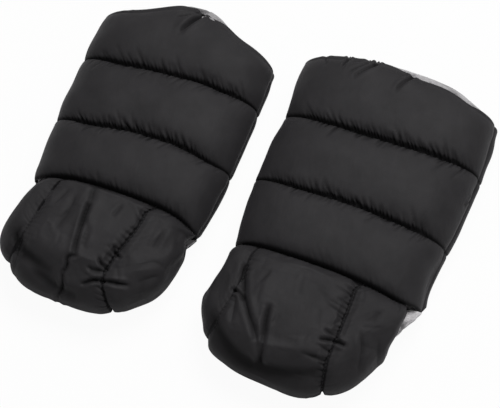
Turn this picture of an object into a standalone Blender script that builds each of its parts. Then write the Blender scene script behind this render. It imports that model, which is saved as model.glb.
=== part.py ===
# A pair of padded hand muffs for a stroller handlebar, modelled as sewn layers and press studs.
#
# Each muff lies on its underside with its toe towards -Y and its wrist opening towards +Y.
# The cuff is a quilted sleeve, the toe is a cup with two darts, and a flap under the toe
# closes on two press studs. A handlebar runs along X through the slots between toe and flap.
# Every padded panel is one base surface on the hand side and three layers above it: fleece
# lining, wadding and outer shell. The wadding is pressed thin along every row of stitches.

import math

import bmesh
import bpy
from mathutils import Vector

MM = 0.001

# Overall sizes of the right muff. The left one is sewn a little smaller in plan.
LEFT_SIZE_SHARE = 0.95
WRIST_WIDTH = 184 * MM
TOE_SEAM_WIDTH = 172 * MM
CHANNEL_LENGTH = 66 * MM
WRIST_CHANNEL_LENGTH = 58 * MM
CUFF_LENGTH = 2 * CHANNEL_LENGTH + WRIST_CHANNEL_LENGTH
TOE_REACH = 101 * MM
TOE_FLARE = 3.4 * MM
SEAM_LEAN = 4 * MM
TIP_LEAN = 11 * MM
MUFF_GAP = 12.75 * MM

# Heights of the hand space above and below the side seams
SIDE_SEAM_HEIGHT = 28 * MM
TOP_RISE = 21 * MM
TOE_SWELL = 4 * MM
TOE_DROP = 14 * MM

# Layers of cloth
LINING_THICKNESS = 2.0 * MM
SHELL_THICKNESS = 1.0 * MM
PRESSED_WADDING = 0.8 * MM
LAYER_GAP = 0.3 * MM
SEAM_LOFT = LINING_THICKNESS + PRESSED_WADDING + SHELL_THICKNESS + 2 * LAYER_GAP
WADDING_DEPTH = LINING_THICKNESS + LAYER_GAP
WADDING_COVER = SHELL_THICKNESS + LAYER_GAP

# Padded thickness at the crown of each kind of panel
TOP_LOFT = 15 * MM
UNDER_LOFT = 11 * MM
TOE_LOFT = 14 * MM
FLAP_LOFT = 7 * MM
RIM_LOFT = 9 * MM
FLAT_CUT = 0.5 * MM
UNDER_DROP = SIDE_SEAM_HEIGHT - UNDER_LOFT + FLAT_CUT

# Shape of the cuff
SEAM_SHARES = (0.0, CHANNEL_LENGTH / CUFF_LENGTH, 2 * CHANNEL_LENGTH / CUFF_LENGTH, 1.0)
RIM_BOW = 14 * MM
RIM_BOW_POWER = 6
TOP_POWER = 2.4
UNDER_POWER = 3.0
CHANNEL_POWER = 0.6
SIDE_LOFT_SHARE = 0.4
SIDE_LOFT_POWER = 3
TOP_COLUMNS = 12
UNDER_COLUMNS = 9
TOP_ROW_SHARES = (0.0, 0.2, 0.5, 0.8)
UNDER_ROW_SHARES = (0.0, 0.2, 0.4, 0.6, 0.8)
CURL_STEPS = 4

# Shape of the toe: each row is an angle round the tip and the share of full loft there
TOE_POWER = 2.4
NOSE_POWER = 2.6
GORE_POWER = 0.6
DART_SWELL = 0.25
DART_SHARES = (-0.62, 0.37)
MIDDLE_GORE_SHARES = (0.0, 0.09, 0.3, 0.5, 0.7, 0.91)
SIDE_GORE_SHARES = (0.0, 0.22, 0.6)
TOE_ROW_SHARES = (
    (90, 0.0), (88, 0.55), (82, 0.85), (70, 1.0), (52, 1.0), (30, 1.0), (8, 1.0),
    (-12, 1.0), (-28, 0.9), (-40, 0.45), (-46, 0.0), (-64, 0.0),
)
TOE_HEM_ANGLE = -45

# Slots for the handlebar, between the toe, the flap and the cuff
SLOT_LENGTH = 48 * MM
SLOT_RISE = 10.5 * MM
SLOT_DROP = 8.7 * MM

# Flap under the toe
FLAP_LENGTH = 88 * MM
FLAP_MARGIN = 2 * MM
FLAP_TOP = 7.6 * MM
FLAP_SIDE_RISE = 4 * MM
FLAP_FLAT_SHARE = 0.57
FLAP_PAD_SHARES = ((0.0, 0.94, 0.0), (0.15, 0.98, 0.75), (0.44, 0.93, 1.0), (0.76, 0.80, 0.8))
FLAP_HEM_SHARES = ((0.0, 0.72), (0.6, 0.66), (0.87, 0.57), (1.0, 0.42))
FLAP_COLUMN_SHARES = (-1.0, -0.8, -0.57, -0.28, 0.0, 0.28, 0.57, 0.8, 1.0)
HINGE_DROP = 0.4 * MM

# Press studs, from the cap under the flap to the post inside the toe
SNAP_SHARE = 0.32
SNAP_ANGLE = -55
SNAP_MARGIN = 1.5 * MM
SNAP_STEPS = 12
CAP_RADIUS = 7.0 * MM
CAP_HEIGHT = 1.6 * MM
CAP_RIM = 0.6 * MM
CAP_CROWN_SHARE = 0.65
SHANK_RADIUS = 1.6 * MM
RIVET_RADIUS = 2.5 * MM
RIVET_HEIGHT = 0.4 * MM
SNAP_CLEARANCE = 0.3 * MM
HOLE_RADIUS = SHANK_RADIUS + SNAP_CLEARANCE
SOCKET_RADIUS = 6.2 * MM
SOCKET_TOP_RADIUS = 5.4 * MM
SOCKET_HEIGHT = 3.0 * MM
SOCKET_FLOOR = 0.8 * MM
SOCKET_BORE = 3.1 * MM
KNOB_RADIUS = 2.7 * MM
KNOB_WAIST = 2.4 * MM
KNOB_HEIGHT = 1.4 * MM
STUD_RADIUS = 5.4 * MM
STUD_BASE = 0.9 * MM
STUD_BORE_DEPTH = 1.2 * MM
POST_RADIUS = 5.4 * MM
POST_HEIGHT = 1.0 * MM
CUT_OVERRUN = 1.0 * MM
MERGE = 0.01 * MM

# Levels of the press stud stack above the surface that the muff lies on
FLAP_UNDERSIDE = FLAP_TOP - SEAM_LOFT
SOCKET_BASE = FLAP_TOP + LAYER_GAP
STUD_FACE = SOCKET_BASE + SOCKET_HEIGHT + LAYER_GAP
TOE_HEM_UNDERSIDE = STUD_FACE + STUD_BASE + LAYER_GAP
TOE_HEM_TOP = TOE_HEM_UNDERSIDE + SEAM_LOFT
POST_BASE = TOE_HEM_TOP + LAYER_GAP

# Colours are linear RGB
SHELL_CLOTH = ("shell_cloth", (0.028, 0.028, 0.030), 0.5, 0.0)
WADDING_FIBRE = ("wadding_fibre", (0.80, 0.80, 0.78), 0.95, 0.0)
FLEECE = ("fleece_lining", (0.46, 0.45, 0.46), 0.95, 0.0)
SNAP_METAL = ("snap_metal", (0.035, 0.035, 0.037), 0.35, 1.0)

parts = bpy.data.collections.new("stroller_hand_muffs")
cutters = bpy.data.collections.new("cutters")


def clear_scene():
    for obj in list(bpy.data.objects):
        bpy.data.objects.remove(obj, do_unlink=True)
    for collection in (parts, cutters):
        bpy.context.scene.collection.children.link(collection)


def mix(start, end, share):
    return start + (end - start) * share


def signed_power(value, power):
    return math.copysign(abs(value) ** power, value)


def material(finish):
    """One Principled material for each finish, shared by all the pieces that have it."""
    name, colour, roughness, metallic = finish
    if name in bpy.data.materials:
        return bpy.data.materials[name]
    made = bpy.data.materials.new(name)
    made.use_nodes = True
    shader = made.node_tree.nodes["Principled BSDF"]
    shader.inputs["Base Color"].default_value = (*colour, 1.0)
    shader.inputs["Roughness"].default_value = roughness
    shader.inputs["Metallic"].default_value = metallic
    return made


def empty(name, place, parent=None):
    made = bpy.data.objects.new(name, None)
    made.location = place
    made.parent = parent
    parts.objects.link(made)
    return made


def finished(name, bm, parent, finish):
    """Turns a bmesh into a named object of the pair."""
    mesh = bpy.data.meshes.new(name)
    bm.to_mesh(mesh)
    bm.free()
    mesh.materials.append(material(finish))
    mesh.shade_smooth()
    mesh.set_sharp_from_angle(angle=math.radians(50))
    made = bpy.data.objects.new(name, mesh)
    made.parent = parent
    parts.objects.link(made)
    return made


def cloth_layer(name, under, over, columns, rows, parent, finish, origin=Vector(), joined=False):
    """A closed layer of cloth between two surfaces, from one grid extruded from the first to the second.

    under and over give the point for a column and a row value. A joined layer closes on itself
    across its columns, as a sleeve does.
    """
    bm = bmesh.new()
    column = bm.verts.layers.int.new("column")
    row = bm.verts.layers.int.new("row")
    bmesh.ops.create_grid(bm, x_segments=len(columns) - 1, y_segments=len(rows) - 1, size=1)
    for vert in bm.verts:
        vert[column] = round((vert.co.x + 1) / 2 * (len(columns) - 1))
        vert[row] = round((vert.co.y + 1) / 2 * (len(rows) - 1))
        vert.co = under(columns[vert[column]], rows[vert[row]]) - origin
    if joined:
        bmesh.ops.remove_doubles(bm, verts=bm.verts, dist=MERGE)
    lower = set(bm.verts)
    bmesh.ops.extrude_face_region(bm, geom=bm.faces[:] + bm.edges[:], use_keep_orig=True)
    for vert in bm.verts:
        if vert not in lower:
            vert.co = over(columns[vert[column]], rows[vert[row]]) - origin
    bmesh.ops.recalc_face_normals(bm, faces=bm.faces)
    return finished(name, bm, parent, finish)


def turned(name, profile, closed, place, parent, finish):
    """A turned piece: its profile at +X goes down the outer side, and a Screw modifier spins it."""
    mesh = bpy.data.meshes.new(name)
    edges = [(i, i + 1) for i in range(len(profile) - 1)]
    if closed:
        edges.append((len(profile) - 1, 0))
    mesh.from_pydata([(radius, 0, height) for radius, height in profile], edges, [])
    mesh.materials.append(material(finish))
    made = bpy.data.objects.new(name, mesh)
    made.location = place
    made.parent = parent
    parts.objects.link(made)
    screw = made.modifiers.new("turn", "SCREW")
    screw.steps = screw.render_steps = SNAP_STEPS
    screw.use_merge_vertices = True
    screw.merge_threshold = MERGE
    screw.use_smooth_shade = False
    return made


def drill(name, radius, low, high, place, parent):
    """A round cutter along Z for the holes that a press stud's shank goes through."""
    bm = bmesh.new()
    bmesh.ops.create_cone(
        bm, cap_ends=True, segments=SNAP_STEPS, radius1=radius, radius2=radius, depth=high - low
    )
    mesh = bpy.data.meshes.new(name)
    bm.to_mesh(mesh)
    bm.free()
    made = bpy.data.objects.new(name, mesh)
    made.location = place + Vector((0, 0, (low + high) / 2))
    made.parent = parent
    made.hide_render = True
    made.display_type = "WIRE"
    cutters.objects.link(made)
    return made


def cut(piece, cutter):
    boolean = piece.modifiers.new("hole", "BOOLEAN")
    boolean.operation = "DIFFERENCE"
    boolean.solver = "EXACT"
    boolean.object = cutter


# Cuff: its hand side is a flattened sleeve, fuller above the side seams than below


def cuff_surface(size, angle, along):
    """Point and outward normal of the hand side. along runs from the toe seam to the wrist."""
    half_width = size * mix(TOE_SEAM_WIDTH, WRIST_WIDTH, along) / 2 - SEAM_LOFT
    above = math.sin(angle) > -1e-9
    power = TOP_POWER if above else UNDER_POWER
    rise = TOP_RISE if above else UNDER_DROP
    across = signed_power(math.cos(angle), 2 / power)
    up = signed_power(math.sin(angle), 2 / power)
    bow = RIM_BOW * along**RIM_BOW_POWER * (1 - across**2)
    reach = size * along * (CUFF_LENGTH + bow)
    point = Vector((half_width * across, reach, SIDE_SEAM_HEIGHT + rise * up))
    normal = Vector((signed_power(across, power - 1) / half_width, 0, signed_power(up, power - 1) / rise))
    return point, normal.normalized()


def cuff_loft(angle, along, crown_loft):
    """Thickness of the padded panel: full in the middle of each channel, pressed at each seam."""
    swell = seam_swell(along, SEAM_SHARES, CHANNEL_POWER)
    if along > (SEAM_SHARES[-2] + 1) / 2:
        swell = max(swell, (RIM_LOFT - SEAM_LOFT) / (crown_loft - SEAM_LOFT))
    flatness = 1 - abs(math.cos(angle)) ** SIDE_LOFT_POWER
    return SEAM_LOFT + (crown_loft - SEAM_LOFT) * swell * mix(SIDE_LOFT_SHARE, 1, flatness)


def seam_swell(value, seams, power):
    """Share of full loft at a value between seams: none at a seam and one halfway between two."""
    for start, end in zip(seams, seams[1:]):
        if start <= value <= end:
            return max(0.0, math.sin(math.pi * (value - start) / (end - start))) ** power
    return 0.0


def cuff_point(size, angle, along, crown_loft, depth=None, cover=None):
    """A point of a layer, depth above the hand side or cover below the outside."""
    point, normal = cuff_surface(size, angle, along)
    if along > 1 - 1e-9:
        point.y -= LAYER_GAP
    above = crown_loft == TOP_LOFT
    if cover is None:
        point = point + normal * depth
    else:
        point = point + normal * (cuff_loft(angle, along, crown_loft) - cover)
        point.z = max(point.z, cover)
    if above:
        point.z = max(point.z, SIDE_SEAM_HEIGHT + LAYER_GAP / 2)
    else:
        point.z = min(point.z, SIDE_SEAM_HEIGHT - LAYER_GAP / 2)
    return point


def even_angles(start, end, steps):
    return [math.radians(mix(start, end, i / steps)) for i in range(steps + 1)]


def channel_rows(shares):
    pairs = zip(SEAM_SHARES, SEAM_SHARES[1:])
    return [mix(start, end, share) for start, end in pairs for share in shares] + [1.0]


def padded_layers(name, point, columns, rows, parent, origin=Vector(), lined=True):
    """Lining, wadding and shell of one panel, from a rule for its points at a depth or under a cover."""
    layers = {
        "lining": (dict(depth=0), dict(depth=LINING_THICKNESS), FLEECE),
        "wadding": (dict(depth=WADDING_DEPTH), dict(cover=WADDING_COVER), WADDING_FIBRE),
        "shell": (dict(cover=SHELL_THICKNESS), dict(cover=0), SHELL_CLOTH),
    }
    if not lined:
        del layers["lining"]
    return [
        cloth_layer(
            f"{name}_{kind}",
            lambda column, row, at=under: point(column, row, **at),
            lambda column, row, at=over: point(column, row, **at),
            columns, rows, parent, finish, origin,
        )
        for kind, (under, over, finish) in layers.items()
    ]


def cuff_panel(name, size, crown_loft, columns, rows, parent):
    """The wadding and the outer shell of the upper or the under panel of a cuff."""

    def point(angle, along, **at):
        return cuff_point(size, angle, along, crown_loft, **at)

    padded_layers(name, point, columns, channel_rows(rows), parent, lined=False)


def cuff_lining(name, size, columns, parent):
    """The fleece sleeve. At the wrist it curls outwards over the wadding to meet the shells."""

    def curled(angle, row, depth):
        straight = min(row, 1.0)
        point, normal = cuff_surface(size, angle, straight)
        if row <= 1:
            return point + normal * depth
        loft_rule = TOP_LOFT if math.sin(angle) > -1e-9 else UNDER_LOFT
        radius = cuff_loft(angle, 1.0, loft_rule) / 2
        turn = (row - 1) * math.pi
        reach = radius - depth
        return point + normal * (radius - reach * math.cos(turn)) + Vector((0, reach * math.sin(turn), 0))

    rows = [*SEAM_SHARES]
    rows += [1 + (step + 1) / CURL_STEPS for step in range(CURL_STEPS)]
    cloth_layer(
        name,
        lambda angle, row: curled(angle, row, 0),
        lambda angle, row: curled(angle, row, LINING_THICKNESS),
        columns, rows, parent, FLEECE, joined=True,
    )


# Toe: a cup round the X axis, from the toe seam over the tip to a flat hem under the toe


def side_rise(across, half_width):
    """How far the hem and the flap curl up towards their side edges."""
    flat = FLAP_FLAT_SHARE * half_width
    beyond = max(0.0, abs(across) - flat) / (half_width - flat)
    return FLAP_SIDE_RISE * beyond**2


def toe_surface(size, share, angle):
    """Point and outward normal of the hand side. share runs across the toe from edge to edge."""
    turn = math.radians(angle)
    rise = TOP_RISE + TOE_SWELL * math.cos(turn) if angle > 0 else TOE_DROP
    edge = SLOT_RISE / TOP_RISE if angle > 0 else SLOT_DROP / TOE_DROP
    edge = mix(SLOT_LENGTH / TOE_REACH, edge, math.sin(turn) ** 2)
    swing = share * math.acos(edge ** (TOE_POWER / 2))
    across = signed_power(math.sin(swing), 2 / TOE_POWER)
    radial = math.cos(swing) ** (2 / TOE_POWER)
    ahead = max(0.0, math.cos(turn)) ** (2 / NOSE_POWER)
    up = signed_power(math.sin(turn), 2 / NOSE_POWER)
    half_width = size * (TOE_SEAM_WIDTH / 2 - SEAM_LOFT + TOE_FLARE)
    point = Vector((
        half_width * across - mix(SEAM_LEAN, TIP_LEAN, ahead),
        -size * TOE_REACH * radial * ahead - LAYER_GAP,
        SIDE_SEAM_HEIGHT + rise * radial * up,
    ))
    normal = Vector((
        signed_power(across, TOE_POWER - 1) / half_width,
        -(radial ** (TOE_POWER - 1)) * ahead ** (NOSE_POWER - 1) / TOE_REACH,
        radial ** (TOE_POWER - 1) * signed_power(up, NOSE_POWER - 1) / rise,
    )).normalized()
    if angle < TOE_HEM_ANGLE:
        point.z = TOE_HEM_TOP + side_rise(half_width * across, half_width)
        normal = Vector((0, 0, -1))
    return point, normal


def gore_swell(share):
    """Share of full loft across the toe: less at the darts and none at the side edges."""
    least = DART_SWELL
    if not DART_SHARES[0] <= share <= DART_SHARES[1]:
        dart = DART_SHARES[share > 0]
        least = DART_SWELL * (1 - abs(share - dart) / (1 - abs(dart)))
    return mix(least, 1, seam_swell(share, (-1.0, *DART_SHARES, 1.0), GORE_POWER))


def toe_columns():
    left, right = DART_SHARES
    columns = [mix(left, -1.0, share) for share in reversed((*SIDE_GORE_SHARES, 1.0))]
    columns += [mix(left, right, share) for share in MIDDLE_GORE_SHARES[1:]]
    columns += [mix(right, 1.0, share) for share in (*SIDE_GORE_SHARES, 1.0)]
    return columns


def toe_point(size, share, row, depth=None, cover=None):
    angle, swell = row
    point, normal = toe_surface(size, share, angle)
    if cover is not None:
        depth = SEAM_LOFT + (TOE_LOFT - SEAM_LOFT) * swell * gore_swell(share) - cover
    return point + normal * depth


def toe_layers(name, size, parent):
    def point(share, row, **at):
        return toe_point(size, share, row, **at)

    return padded_layers(name, point, toe_columns(), TOE_ROW_SHARES, parent)


# Flap: goes on from the under panel of the cuff and closes under the hem of the toe


def stud_place(size, side_share):
    """Where a press stud's axis meets the hem of the toe."""
    place = toe_surface(size, side_share * SNAP_SHARE, SNAP_ANGLE)[0]
    return Vector((place.x, place.y, 0))


def hem_share(size):
    """Share of the flap's length where its wadding ends, short of the press studs."""
    return (-stud_place(size, 1).y - CAP_RADIUS - SNAP_MARGIN) / (size * FLAP_LENGTH)


def flap_rows(size):
    """For each row, its share of the length, its share of the width and its share of full loft."""
    hem = hem_share(size)
    pad = [(along * hem, width, swell) for along, width, swell in FLAP_PAD_SHARES]
    return pad + [(mix(hem, 1, along), width, 0.0) for along, width in FLAP_HEM_SHARES]


def flap_point(size, share, row, depth=None, cover=None):
    along, width, swell = row
    half_width = size * (TOE_SEAM_WIDTH / 2 - FLAP_MARGIN)
    across = share * half_width * width
    root_height = SIDE_SEAM_HEIGHT - UNDER_DROP
    height = mix(root_height, FLAP_TOP, min(1.0, along / hem_share(size)))
    height += side_rise(across, half_width)
    if cover is not None:
        evened = swell * (1 - abs(share) ** SIDE_LOFT_POWER)
        depth = SEAM_LOFT + (FLAP_LOFT - SEAM_LOFT) * evened - cover
    return Vector((across, -size * along * FLAP_LENGTH - LAYER_GAP, height - depth))


def flap_layers(name, size, hinge, hinge_place):
    def point(share, row, **at):
        return flap_point(size, share, row, **at)

    return padded_layers(name, point, FLAP_COLUMN_SHARES, flap_rows(size), hinge, hinge_place)


# Press studs: cap and socket pinch the flap, post and stud pinch the hem of the toe


def cap_profile():
    under = FLAP_UNDERSIDE - LAYER_GAP
    rivet = SOCKET_BASE + SOCKET_FLOOR + LAYER_GAP
    return [
        (0, rivet + RIVET_HEIGHT),
        (RIVET_RADIUS, rivet + RIVET_HEIGHT),
        (RIVET_RADIUS, rivet),
        (SHANK_RADIUS, rivet),
        (SHANK_RADIUS, under),
        (CAP_RADIUS, under),
        (CAP_RADIUS, under - CAP_RIM),
        (CAP_RADIUS * CAP_CROWN_SHARE, under - CAP_HEIGHT),
        (0, under - CAP_HEIGHT),
    ]


def socket_profile():
    top = SOCKET_BASE + SOCKET_HEIGHT
    floor = SOCKET_BASE + SOCKET_FLOOR
    return [
        (SOCKET_BORE, top),
        (SOCKET_TOP_RADIUS, top),
        (SOCKET_RADIUS, floor),
        (SOCKET_RADIUS, SOCKET_BASE),
        (HOLE_RADIUS, SOCKET_BASE),
        (HOLE_RADIUS, floor),
        (SOCKET_BORE, floor),
    ]


def stud_profile():
    top = STUD_FACE + STUD_BASE
    return [
        (0, top - STUD_BORE_DEPTH),
        (HOLE_RADIUS, top - STUD_BORE_DEPTH),
        (HOLE_RADIUS, top),
        (STUD_RADIUS, top),
        (STUD_RADIUS, STUD_FACE),
        (KNOB_WAIST, STUD_FACE),
        (KNOB_RADIUS, STUD_FACE - KNOB_HEIGHT / 2),
        (KNOB_WAIST, STUD_FACE - KNOB_HEIGHT),
        (0, STUD_FACE - KNOB_HEIGHT),
    ]


def post_profile():
    foot = STUD_FACE + STUD_BASE - STUD_BORE_DEPTH + SNAP_CLEARANCE
    return [
        (0, POST_BASE + POST_HEIGHT),
        (POST_RADIUS * CAP_CROWN_SHARE, POST_BASE + POST_HEIGHT),
        (POST_RADIUS, POST_BASE + POST_HEIGHT / 2),
        (POST_RADIUS, POST_BASE),
        (SHANK_RADIUS, POST_BASE),
        (SHANK_RADIUS, foot),
        (0, foot),
    ]


def press_studs(side, size, muff, hinge, hinge_place, holed):
    """Two press studs, and the holes that their shanks go through."""
    for number, side_share in enumerate((-1, 1), 1):
        place = stud_place(size, side_share)
        turned(f"{side}_snap_cap_{number}", cap_profile(), False, place - hinge_place, hinge, SNAP_METAL)
        turned(f"{side}_snap_socket_{number}", socket_profile(), True, place - hinge_place, hinge, SNAP_METAL)
        turned(f"{side}_snap_stud_{number}", stud_profile(), False, place, muff, SNAP_METAL)
        turned(f"{side}_snap_post_{number}", post_profile(), False, place, muff, SNAP_METAL)
        low = FLAP_UNDERSIDE - CUT_OVERRUN
        high = TOE_HEM_TOP + CUT_OVERRUN
        cutter = drill(f"{side}_snap_drill_{number}", HOLE_RADIUS, low, high, place, muff)
        for layer in holed:
            cut(layer, cutter)


def middle_of_length(size):
    """Halfway between the toe's tip and the furthest point of the wrist rim."""
    tip = min(toe_point(size, share, row, cover=0).y for share in toe_columns() for row in TOE_ROW_SHARES)
    crown = math.radians(90)
    rim = cuff_surface(size, crown, 1.0)[0].y + cuff_loft(crown, 1.0, TOP_LOFT) / 2
    return (tip + rim) / 2


def side_reach(size, sense):
    """How far one muff reaches sideways from its middle, towards +X or -X by the sense."""
    cuff = [
        cuff_point(size, angle, along, TOP_LOFT, cover=0)
        for angle in even_angles(180, 0, TOP_COLUMNS)
        for along in channel_rows(TOP_ROW_SHARES)
    ]
    toe = [toe_point(size, share, row, cover=0) for share in toe_columns() for row in TOE_ROW_SHARES]
    return max(sense * point.x for point in cuff + toe)


def hand_muff(side, size, across):
    """One muff of this size with its middle at this distance along X."""
    muff = empty(side + "_muff", Vector((across, -middle_of_length(1.0), 0)))
    hinge_place = Vector((0, -LAYER_GAP / 2, SIDE_SEAM_HEIGHT - UNDER_DROP - SEAM_LOFT - HINGE_DROP))
    hinge = empty(side + "_flap_hinge", hinge_place, muff)
    top_columns = even_angles(180, 0, TOP_COLUMNS)
    under_columns = even_angles(0, -180, UNDER_COLUMNS)
    cuff_panel(side + "_top", size, TOP_LOFT, top_columns, TOP_ROW_SHARES, muff)
    cuff_panel(side + "_under", size, UNDER_LOFT, under_columns, UNDER_ROW_SHARES, muff)
    cuff_lining(side + "_cuff_lining", size, top_columns + under_columns[1:], muff)
    toe = toe_layers(side + "_toe", size, muff)
    flap = flap_layers(side + "_flap", size, hinge, hinge_place)
    press_studs(side, size, muff, hinge, hinge_place, toe + flap)
    print(side, "muff at", [round(value / MM, 2) for value in muff.location], "mm")
    print(side, "flap hinge at", [round(value / MM, 2) for value in muff.location + hinge_place], "mm")


clear_scene()
left_width = side_reach(LEFT_SIZE_SHARE, -1) + side_reach(LEFT_SIZE_SHARE, 1)
right_width = side_reach(1.0, -1) + side_reach(1.0, 1)
half_span = (left_width + MUFF_GAP + right_width) / 2
hand_muff("right", 1.0, half_span - side_reach(1.0, 1))
hand_muff("left", LEFT_SIZE_SHARE, side_reach(LEFT_SIZE_SHARE, -1) - half_span)
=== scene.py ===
# %% [markdown]
# # A pair of padded stroller hand muffs
# The object is a pair of quilted black nylon muffs with a light grey fleece lining. They lie on
# their undersides, wrists away from the camera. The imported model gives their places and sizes,
# and this file gives them their looks: the puffed cloth, its puckers, the seams and the light.

# %% Load the frame
import math

import bmesh
import bpy
import numpy as np
from mathutils import Matrix, Vector


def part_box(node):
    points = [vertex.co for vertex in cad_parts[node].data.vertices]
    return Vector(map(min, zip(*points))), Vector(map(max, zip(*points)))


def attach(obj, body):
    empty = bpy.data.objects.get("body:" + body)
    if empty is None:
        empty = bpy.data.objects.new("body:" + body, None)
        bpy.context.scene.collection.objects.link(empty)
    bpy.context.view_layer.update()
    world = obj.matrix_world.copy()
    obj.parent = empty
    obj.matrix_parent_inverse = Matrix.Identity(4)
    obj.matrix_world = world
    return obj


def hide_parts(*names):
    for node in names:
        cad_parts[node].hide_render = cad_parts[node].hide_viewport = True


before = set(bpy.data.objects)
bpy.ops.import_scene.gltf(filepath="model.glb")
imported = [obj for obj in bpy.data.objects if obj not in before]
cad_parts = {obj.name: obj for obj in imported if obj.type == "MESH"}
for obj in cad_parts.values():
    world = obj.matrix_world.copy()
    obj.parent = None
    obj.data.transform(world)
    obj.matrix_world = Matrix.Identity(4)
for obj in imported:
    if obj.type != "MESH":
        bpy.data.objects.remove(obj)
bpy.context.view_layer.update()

MM = 0.001
SIDES = ("right", "left")

# %% [markdown]
# ## Camera
# The photograph was taken from the toes' side, well above the pair. The camera stands where a
# fit to the quilt lines of both muffs puts it. Its shift stays at zero, so that it can be moved
# round the object without cutting any of it off.

# %% Camera
CAMERA_AZIMUTH = math.radians(20.4)
CAMERA_ELEVATION = math.radians(65.9)
CAMERA_DISTANCE = 1.689
CAMERA_TARGET = Vector((0.0084, -0.0061, 0.030))
CAMERA_LENS = 136.4
CAMERA_SENSOR = 36

away = Vector((
    math.sin(CAMERA_AZIMUTH) * math.cos(CAMERA_ELEVATION),
    -math.cos(CAMERA_AZIMUTH) * math.cos(CAMERA_ELEVATION),
    math.sin(CAMERA_ELEVATION),
))
lens = bpy.data.cameras.new("photograph")
lens.lens = CAMERA_LENS
lens.sensor_width = CAMERA_SENSOR
camera = bpy.data.objects.new("photograph", lens)
camera.location = CAMERA_TARGET + away * CAMERA_DISTANCE
camera.rotation_euler = (-away).to_track_quat("-Z", "Y").to_euler()
bpy.context.scene.collection.objects.link(camera)
bpy.context.scene.camera = camera
print("camera at", [round(value, 3) for value in camera.location])

# %% [markdown]
# ## Shader maths
# A material is easier to read as sums and products than as a list of nodes and links. The class
# below wraps one output of a node. Adding or multiplying two of them adds a Math node.

# %% Shader maths
class Shade:
    """One output in a material's node tree, on which arithmetic adds Math nodes."""

    def __init__(self, finish, socket):
        self.finish = finish
        self.socket = socket

    def maths(self, operation, first, second):
        return self.finish.node("ShaderNodeMath", {"operation": operation}, {0: first, 1: second})

    def __add__(self, other):
        return self.maths("ADD", self, other)

    def __mul__(self, other):
        return self.maths("MULTIPLY", self, other)

    __radd__ = __add__
    __rmul__ = __mul__


class Finish:
    """The node tree of a material, or of the world, under construction."""

    def __init__(self, owner, shader="Principled BSDF"):
        owner.use_nodes = True
        self.tree = owner.node_tree
        self.shader = self.tree.nodes[shader]

    def feed(self, socket, value):
        if isinstance(value, Shade):
            self.tree.links.new(value.socket, socket)
        else:
            socket.default_value = value

    def node(self, kind, settings=None, inputs=None, out=0):
        """Adds any node: its settings first, then the values or links of its sockets."""
        made = self.tree.nodes.new(kind)
        settings = dict(settings or {})
        for number, (place, colour) in enumerate(settings.pop("stops", ())):
            made.color_ramp.elements[number].position = place
            made.color_ramp.elements[number].color = (*colour, 1)
        for name, value in settings.items():
            setattr(made, name, value)
        for name, value in (inputs or {}).items():
            self.feed(made.inputs[name], value)
        return Shade(self, made.outputs[out])

    def ramp(self, value, stops):
        """A colour ramp with two stops of place and colour."""
        return self.node("ShaderNodeValToRGB", {"stops": stops}, {0: value})

    def mixed(self, share, first, second):
        """A colour between two others."""
        return self.node("ShaderNodeMix", {"data_type": "RGBA"}, {0: share, 6: first, 7: second}, 2)

    def set(self, **values):
        for name, value in values.items():
            self.feed(self.shader.inputs[name.replace("_", " ").title().replace("Ior", "IOR")], value)

    def noise(self, place, scale, detail=2, roughness=0.5):
        inputs = {"Vector": place, "Scale": scale, "Detail": detail, "Roughness": roughness}
        return self.node("ShaderNodeTexNoise", {}, inputs)

    def bump(self, height, distance, under=None):
        inputs = {"Height": height, "Distance": distance}
        if under is not None:
            inputs["Normal"] = under
        return self.node("ShaderNodeBump", {}, inputs)

    def place(self, kind="Object"):
        return self.node("ShaderNodeTexCoord", {}, {}, kind)

    def mapped(self, place, scale):
        return self.node("ShaderNodeMapping", {}, {"Vector": place, "Scale": scale})

    def painted_shade(self):
        """How far a cloth piece's colour is darkened as painted shade, mostly in folds and seams, kept
        as an attribute.
        """
        return self.node("ShaderNodeAttribute", {"attribute_name": "painted_shade"}, {}, "Fac")


# %% [markdown]
# ## Nylon shell
# The shell is a tightly woven nylon taffeta. Its threads are too fine to see in the photograph,
# but they give the cloth its soft, slightly silky sheen. The weave could be an image, but waves
# along the cloth's own UV map stay sharp at any distance. A slow noise bends the surface a
# little, as thin cloth over wadding is never quite flat.

# %% Nylon shell
NYLON_DARK = (0.0225, 0.0215, 0.0230)
NYLON_LIGHT = (0.0290, 0.0275, 0.0295)
NYLON_SHEEN = (0.75, 0.72, 0.78, 1)
# Painted shade: the near black that folds and seams are darkened towards, and how far.
PAINTED_SHADE_COLOUR = (0.0035, 0.0033, 0.0036, 1)
PAINTED_SHADE_SHARE = 0.85
MOTTLE_SCALE = 45
HANDLED_SCALE = 120
RUMPLE_SCALE = 90
RUMPLE_HEIGHT = 0.0006
RUMPLE_STRETCH = (1, 0.5, 1)
THREADS_PER_METRE = 2600
WAVE_PERIOD = 2 * math.pi / 20
WEAVE_HEIGHT = 0.00004


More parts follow.
